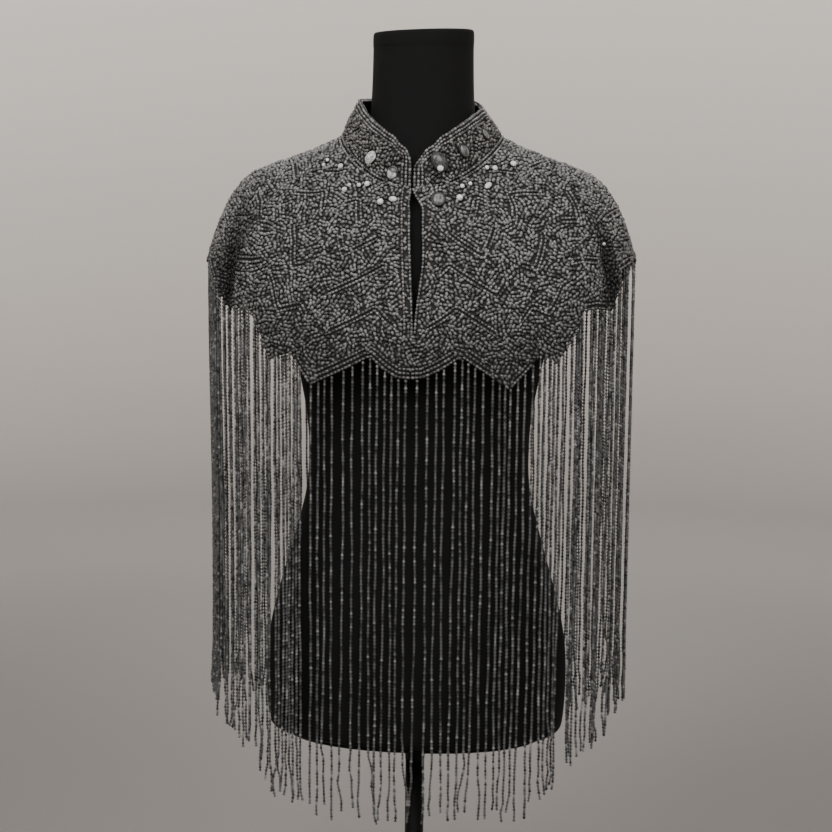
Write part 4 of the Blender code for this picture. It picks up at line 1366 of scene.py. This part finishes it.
# ------------------------------------------------------------------ putting it together
def make_cloth():
    """The four shells of black net that carry the beads."""
    shells = {
        "left": (front_stations(-1), "capelet_front_left"),
        "right": (front_stations(1), "capelet_front_right"),
        "back": (back_stations(), "capelet_back"),
        "collar": (collar_stations(), "collar"),
    }
    made = {}
    for word, (stations, node) in shells.items():
        piece = sheet_object("net", word, stations, CLOTH_LIFT, MATERIALS["net"])
        wall = piece.modifiers.new("cloth thickness", "SOLIDIFY")
        wall.thickness = CLOTH_THICKNESS
        wall.offset = -1.0
        made[word] = settle(piece, "bead_cloth", node)
    return made


def make_fields(clear):
    """The field of short bead rows on every panel."""
    tree = bead_field_tree()
    fields = {}
    panels = {
        "front_left": (front_stations(-1), "field", 3),
        "front_right": (front_stations(1), "field", 4),
        "back_right": (back_stations(90.0, 180.0), "field", 5),
        "back_left": (back_stations(180.0, 270.0), "field", 6),
        "collar": (collar_stations(), "collar field", 7),
    }
    for word, (stations, look, seed) in panels.items():
        material = MATERIALS[look]
        piece = sheet_object("beads", word, stations, BEAD_LIFT, material)
        sizes = FINE_BEADS if word == "collar" else {}
        # the painted shade stored on the sheet goes on to the beads scattered over it
        grown(piece, tree, {"Keep clear": clear, "Seed": seed, "Material": material, **sizes})
        fields[word] = settle(piece, "bead_cloth")
    return fields


def make_rows(cloth):
    tree = bead_row_tree()
    rows = {
        "front_left": (front_rows(-1), "left", ("hem_band_front_left", "edge_band_left")),
        "front_right": (front_rows(1), "right", ("hem_band_front_right", "edge_band_right")),
        "back": (back_rows(-1) + back_rows(1), "back", ("hem_band_back",)),
        "collar": (collar_rows(), "collar", ("collar_edge_band",)),
    }
    made = {}
    for word, (lines, below, nodes) in rows.items():
        piece = line_object(f"bead_rows_{word}", lines)
        # each row takes the painted shade of the cloth under it
        grown(piece, tree, {"Cloth": cloth[below], "Material": MATERIALS["rows"]})
        made[word] = settle(piece, "bead_band", *nodes)
    return made


def make_fringe():
    tree = bead_string_tree()
    made = {}
    for (place, side), lines in string_lines().items():
        word = "left" if side < 0 else "right"
        piece = line_object(f"strings_{place}_{word}", lines)
        grown(piece, tree, {"Material": MATERIALS["strings"]})
        made[place, word] = settle(piece, "bead_fringe", f"fringe_{place}_{word}")
    return made


def make_stones():
    made = {"collar": [], "left": [], "right": []}
    for stone in CABOCHONS:
        # the stone with the painted highlight below is milky glass with a smoky top
        body = MATERIALS["milky" if stone.look == "banded" else stone.look]
        materials = [body, MATERIALS["setting"], MATERIALS["clear"], MATERIALS["smoky"]]
        name = stone.node.replace("stone", "cabochon")
        piece = builder_object(name, cabochon_mesh(stone), materials)
        settle(piece, "crystal", stone.node)
        made["collar" if stone.on == "collar" else "right"].append(piece)
    materials = [MATERIALS["clear"], MATERIALS["setting"]]
    cut = builder_object("cut_stones", cut_stones_mesh(), materials)
    made["left"].append(settle(cut, "crystal"))
    return made


def make_form():
    torso_rings = finer_rings("form_torso", 3)
    torso = closed_stack("padded_torso", torso_rings, MATERIALS["jersey"])
    settle(torso, "form_jersey", "form_torso")
    cap_rings = finer_rings("form_neck_cap", 4)
    middle = cap_rings.mean(axis=1)[:, None, :2]
    widths = np.ptp(cap_rings[..., 0], axis=1)
    fuller = (widths / widths.max()) ** (CAP_FULLNESS - 1.0)
    cap_rings[..., :2] = middle + (cap_rings[..., :2] - middle) * fuller[:, None, None]
    cap_rings[..., 2] += CAP_RISE + CAP_TILT * cap_rings[..., 0]
    neck_edge = torso_rings[-1]
    cap_rings[0] = neck_edge - (0.0, 0.0, CAP_OVERLAP)
    cap_rings[0, :, :2] += (neck_edge[:, :2] - neck_edge[:, :2].mean(axis=0)) * 0.001
    cap = closed_stack("neck_cap", cap_rings, MATERIALS["jersey"])
    settle(cap, "form_jersey", "form_neck_cap")
    for node in ("form_bottom_plate", "pole_socket", "pole", "base_hub", "base_disc"):
        piece = smooth_copy(node, f"{node}_finished", MATERIALS["powder coat"])
        settle(piece, "stand_metal", node)
        if node == "form_bottom_plate":
            low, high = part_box(node)
            for vertex in piece.data.vertices:
                vertex.co.z = max(vertex.co.z, high[2] - PLATE_SHOWS)
            rise = high[2] - PLATE_SHOWS - low[2]
        if node == "pole_socket":
            slim_socket(piece.data, rise)


def slim_socket(mesh, rise):
    """The socket drawn in close round the pole and up to the thin plate."""
    axis = 0.5 * (Vector(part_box("pole")[0]) + Vector(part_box("pole")[1]))
    low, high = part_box("pole_socket")
    for vertex in mesh.vertices:
        share = (vertex.co.z - low[2]) / (high[2] - low[2])
        out = Vector((vertex.co.x - axis.x, vertex.co.y - axis.y))
        if out.length > 1e-4:
            out *= (SOCKET_SHOWS + 0.0008 * share) / out.length
        vertex.co = (axis.x + out.x, axis.y + out.y, vertex.co.z + rise * share)


# ------------------------------------------------------------------------- the studio
def studio_material():
    """Pale paper with painted light and shade: darker near the floor's middle, paler up the wall."""
    material, tree, shader = new_material("studio paper", Roughness=0.95)
    parts = put(tree, "ShaderNodeSeparateXYZ", {0: on_object(tree)})
    radius = vectors("LENGTH", put(tree, "ShaderNodeCombineXYZ", {"X": parts[0], "Y": parts[1]}))
    # painted light: the colour climbs from dark on the floor's middle to pale up the wall
    ramp = put(tree, "ShaderNodeValToRGB", {"Fac": ranged(radius * 0.5 + parts[2], 0.2, 4.2)})
    shades = ramp.node.color_ramp.elements
    shades[0].color = grey(0.232, PAPER_WARMTH)
    shades[1].color = grey(0.83, PAPER_WARMTH)
    for place, value in ((0.225, 0.221), (0.375, 0.258), (0.55, 0.43), (0.775, 0.59)):
        shades.new(place).color = grey(value, PAPER_WARMTH)
    # painted shade: darker towards the sides on the floor near the middle
    aside = ranged(maths("ABSOLUTE", parts[0] + 0.1), 0.2, 0.8)
    close = ranged(radius, 0.6, 2.6, 0.36, 0.0)
    feed(tree, shader, {"Base Color": mixed(tree, 1.0, ramp, 1.0 - aside * close, "MULTIPLY")})
    return material


def make_studio():
    """One round sweep of paper: floor, soft fillet and wall."""
    profile = [(1.2, 0.0), (2.4, 0.0), (FLOOR_RADIUS, 0.0)]
    for turn in np.radians(np.linspace(9.0, 90.0, 10)):
        profile.append((FLOOR_RADIUS + FILLET * math.sin(turn), FILLET * (1.0 - math.cos(turn))))
    profile += [(WALL_RADIUS, 2.6), (WALL_RADIUS, 3.8), (WALL_RADIUS, 5.2)]
    turns = np.arange(SWEEP_SIDES) * 2.0 * np.pi / SWEEP_SIDES
    points = [(r * math.cos(t), r * math.sin(t), z) for r, z in profile for t in turns]
    mesh = mesh_of("studio_sweep", points, quads(len(profile), SWEEP_SIDES, closed=True))
    builder = bmesh.new()
    builder.from_mesh(mesh)
    builder.verts.ensure_lookup_table()
    builder.faces.new(builder.verts[:SWEEP_SIDES])
    bmesh.ops.recalc_face_normals(builder, faces=builder.faces)
    builder.to_mesh(mesh)
    builder.free()
    if mesh.polygons[0].normal.z < 0.0:
        mesh.flip_normals()
    object_of("studio_sweep", mesh, studio_material())


def add_light(name, place, aim, size, watts):
    light = bpy.data.lights.new(name, "AREA")
    light.shape = "SQUARE"
    light.size = size
    light.energy = watts
    thing = bpy.data.objects.new(name, light)
    thing.location = place
    direction = Vector(aim) - Vector(place)
    thing.rotation_euler = direction.to_track_quat("-Z", "Y").to_euler()
    thing.visible_camera = False
    bpy.context.scene.collection.objects.link(thing)


def make_lights():
    add_light("key", (-1.1, -2.6, 2.9), (0.0, 0.0, 0.85), 1.6, 70.0)
    add_light("fill", (1.2, -2.6, 2.6), (0.0, 0.0, 0.85), 1.8, 52.0)
    add_light("top", (0.0, 0.1, 3.2), (0.0, 0.0, 0.8), 1.8, 25.0)
    add_light("behind", (0.0, 2.9, 2.3), (0.0, 0.0, 0.8), 1.8, 30.0)
    for side, watts in ((-1, 67.0), (1, 60.0)):
        add_light("wall", (side * 2.4, 1.6, 3.4), (side * 2.6, 5.0, 1.6), 1.8, watts)
    world = bpy.data.worlds.new("studio air")
    world.use_nodes = True
    background = world.node_tree.nodes["Background"]
    background.inputs["Color"].default_value = (0.62, 0.61, 0.60, 1.0)
    background.inputs["Strength"].default_value = 0.28
    bpy.context.scene.world = world


def make_camera():
    """At eye height, a little to the right of the middle and tilted down."""
    distance, height, shift = 2.25, 0.994, -0.0036
    azimuth, pitch, roll = (math.radians(value) for value in (4.5, 7.5, 0.7))
    data = bpy.data.cameras.new("camera")
    data.lens = 85.0
    data.sensor_width = 36.0
    thing = bpy.data.objects.new("camera", data)
    right = Vector((math.cos(azimuth), math.sin(azimuth), 0.0))
    thing.location = Vector((distance * math.sin(azimuth), -distance * math.cos(azimuth),
                             height)) + right * shift
    turn = (Matrix.Rotation(azimuth, 3, "Z") @ Matrix.Rotation(math.radians(90.0) - pitch, 3, "X")
            @ Matrix.Rotation(roll, 3, "Z"))
    thing.rotation_euler = turn.to_euler()
    bpy.context.scene.collection.objects.link(thing)
    bpy.context.scene.camera = thing


GROUPS = {tree.name: tree for tree in (bead_tint_group(), knit_group(), dust_group())}
MATERIALS = make_materials()


def main():
    make_camera()
    make_studio()
    make_lights()
    cloth = make_cloth()
    rows_to_clear = front_rows(-1) + front_rows(1) + back_rows(-1) + back_rows(1) + collar_rows()
    clear = line_object("lines_kept_clear", rows_to_clear + lines_outside() + stone_wires())
    fields = make_fields(clear)
    bpy.data.objects.remove(clear)
    make_rows(cloth)
    make_fringe()
    make_stones()
    make_form()


main()
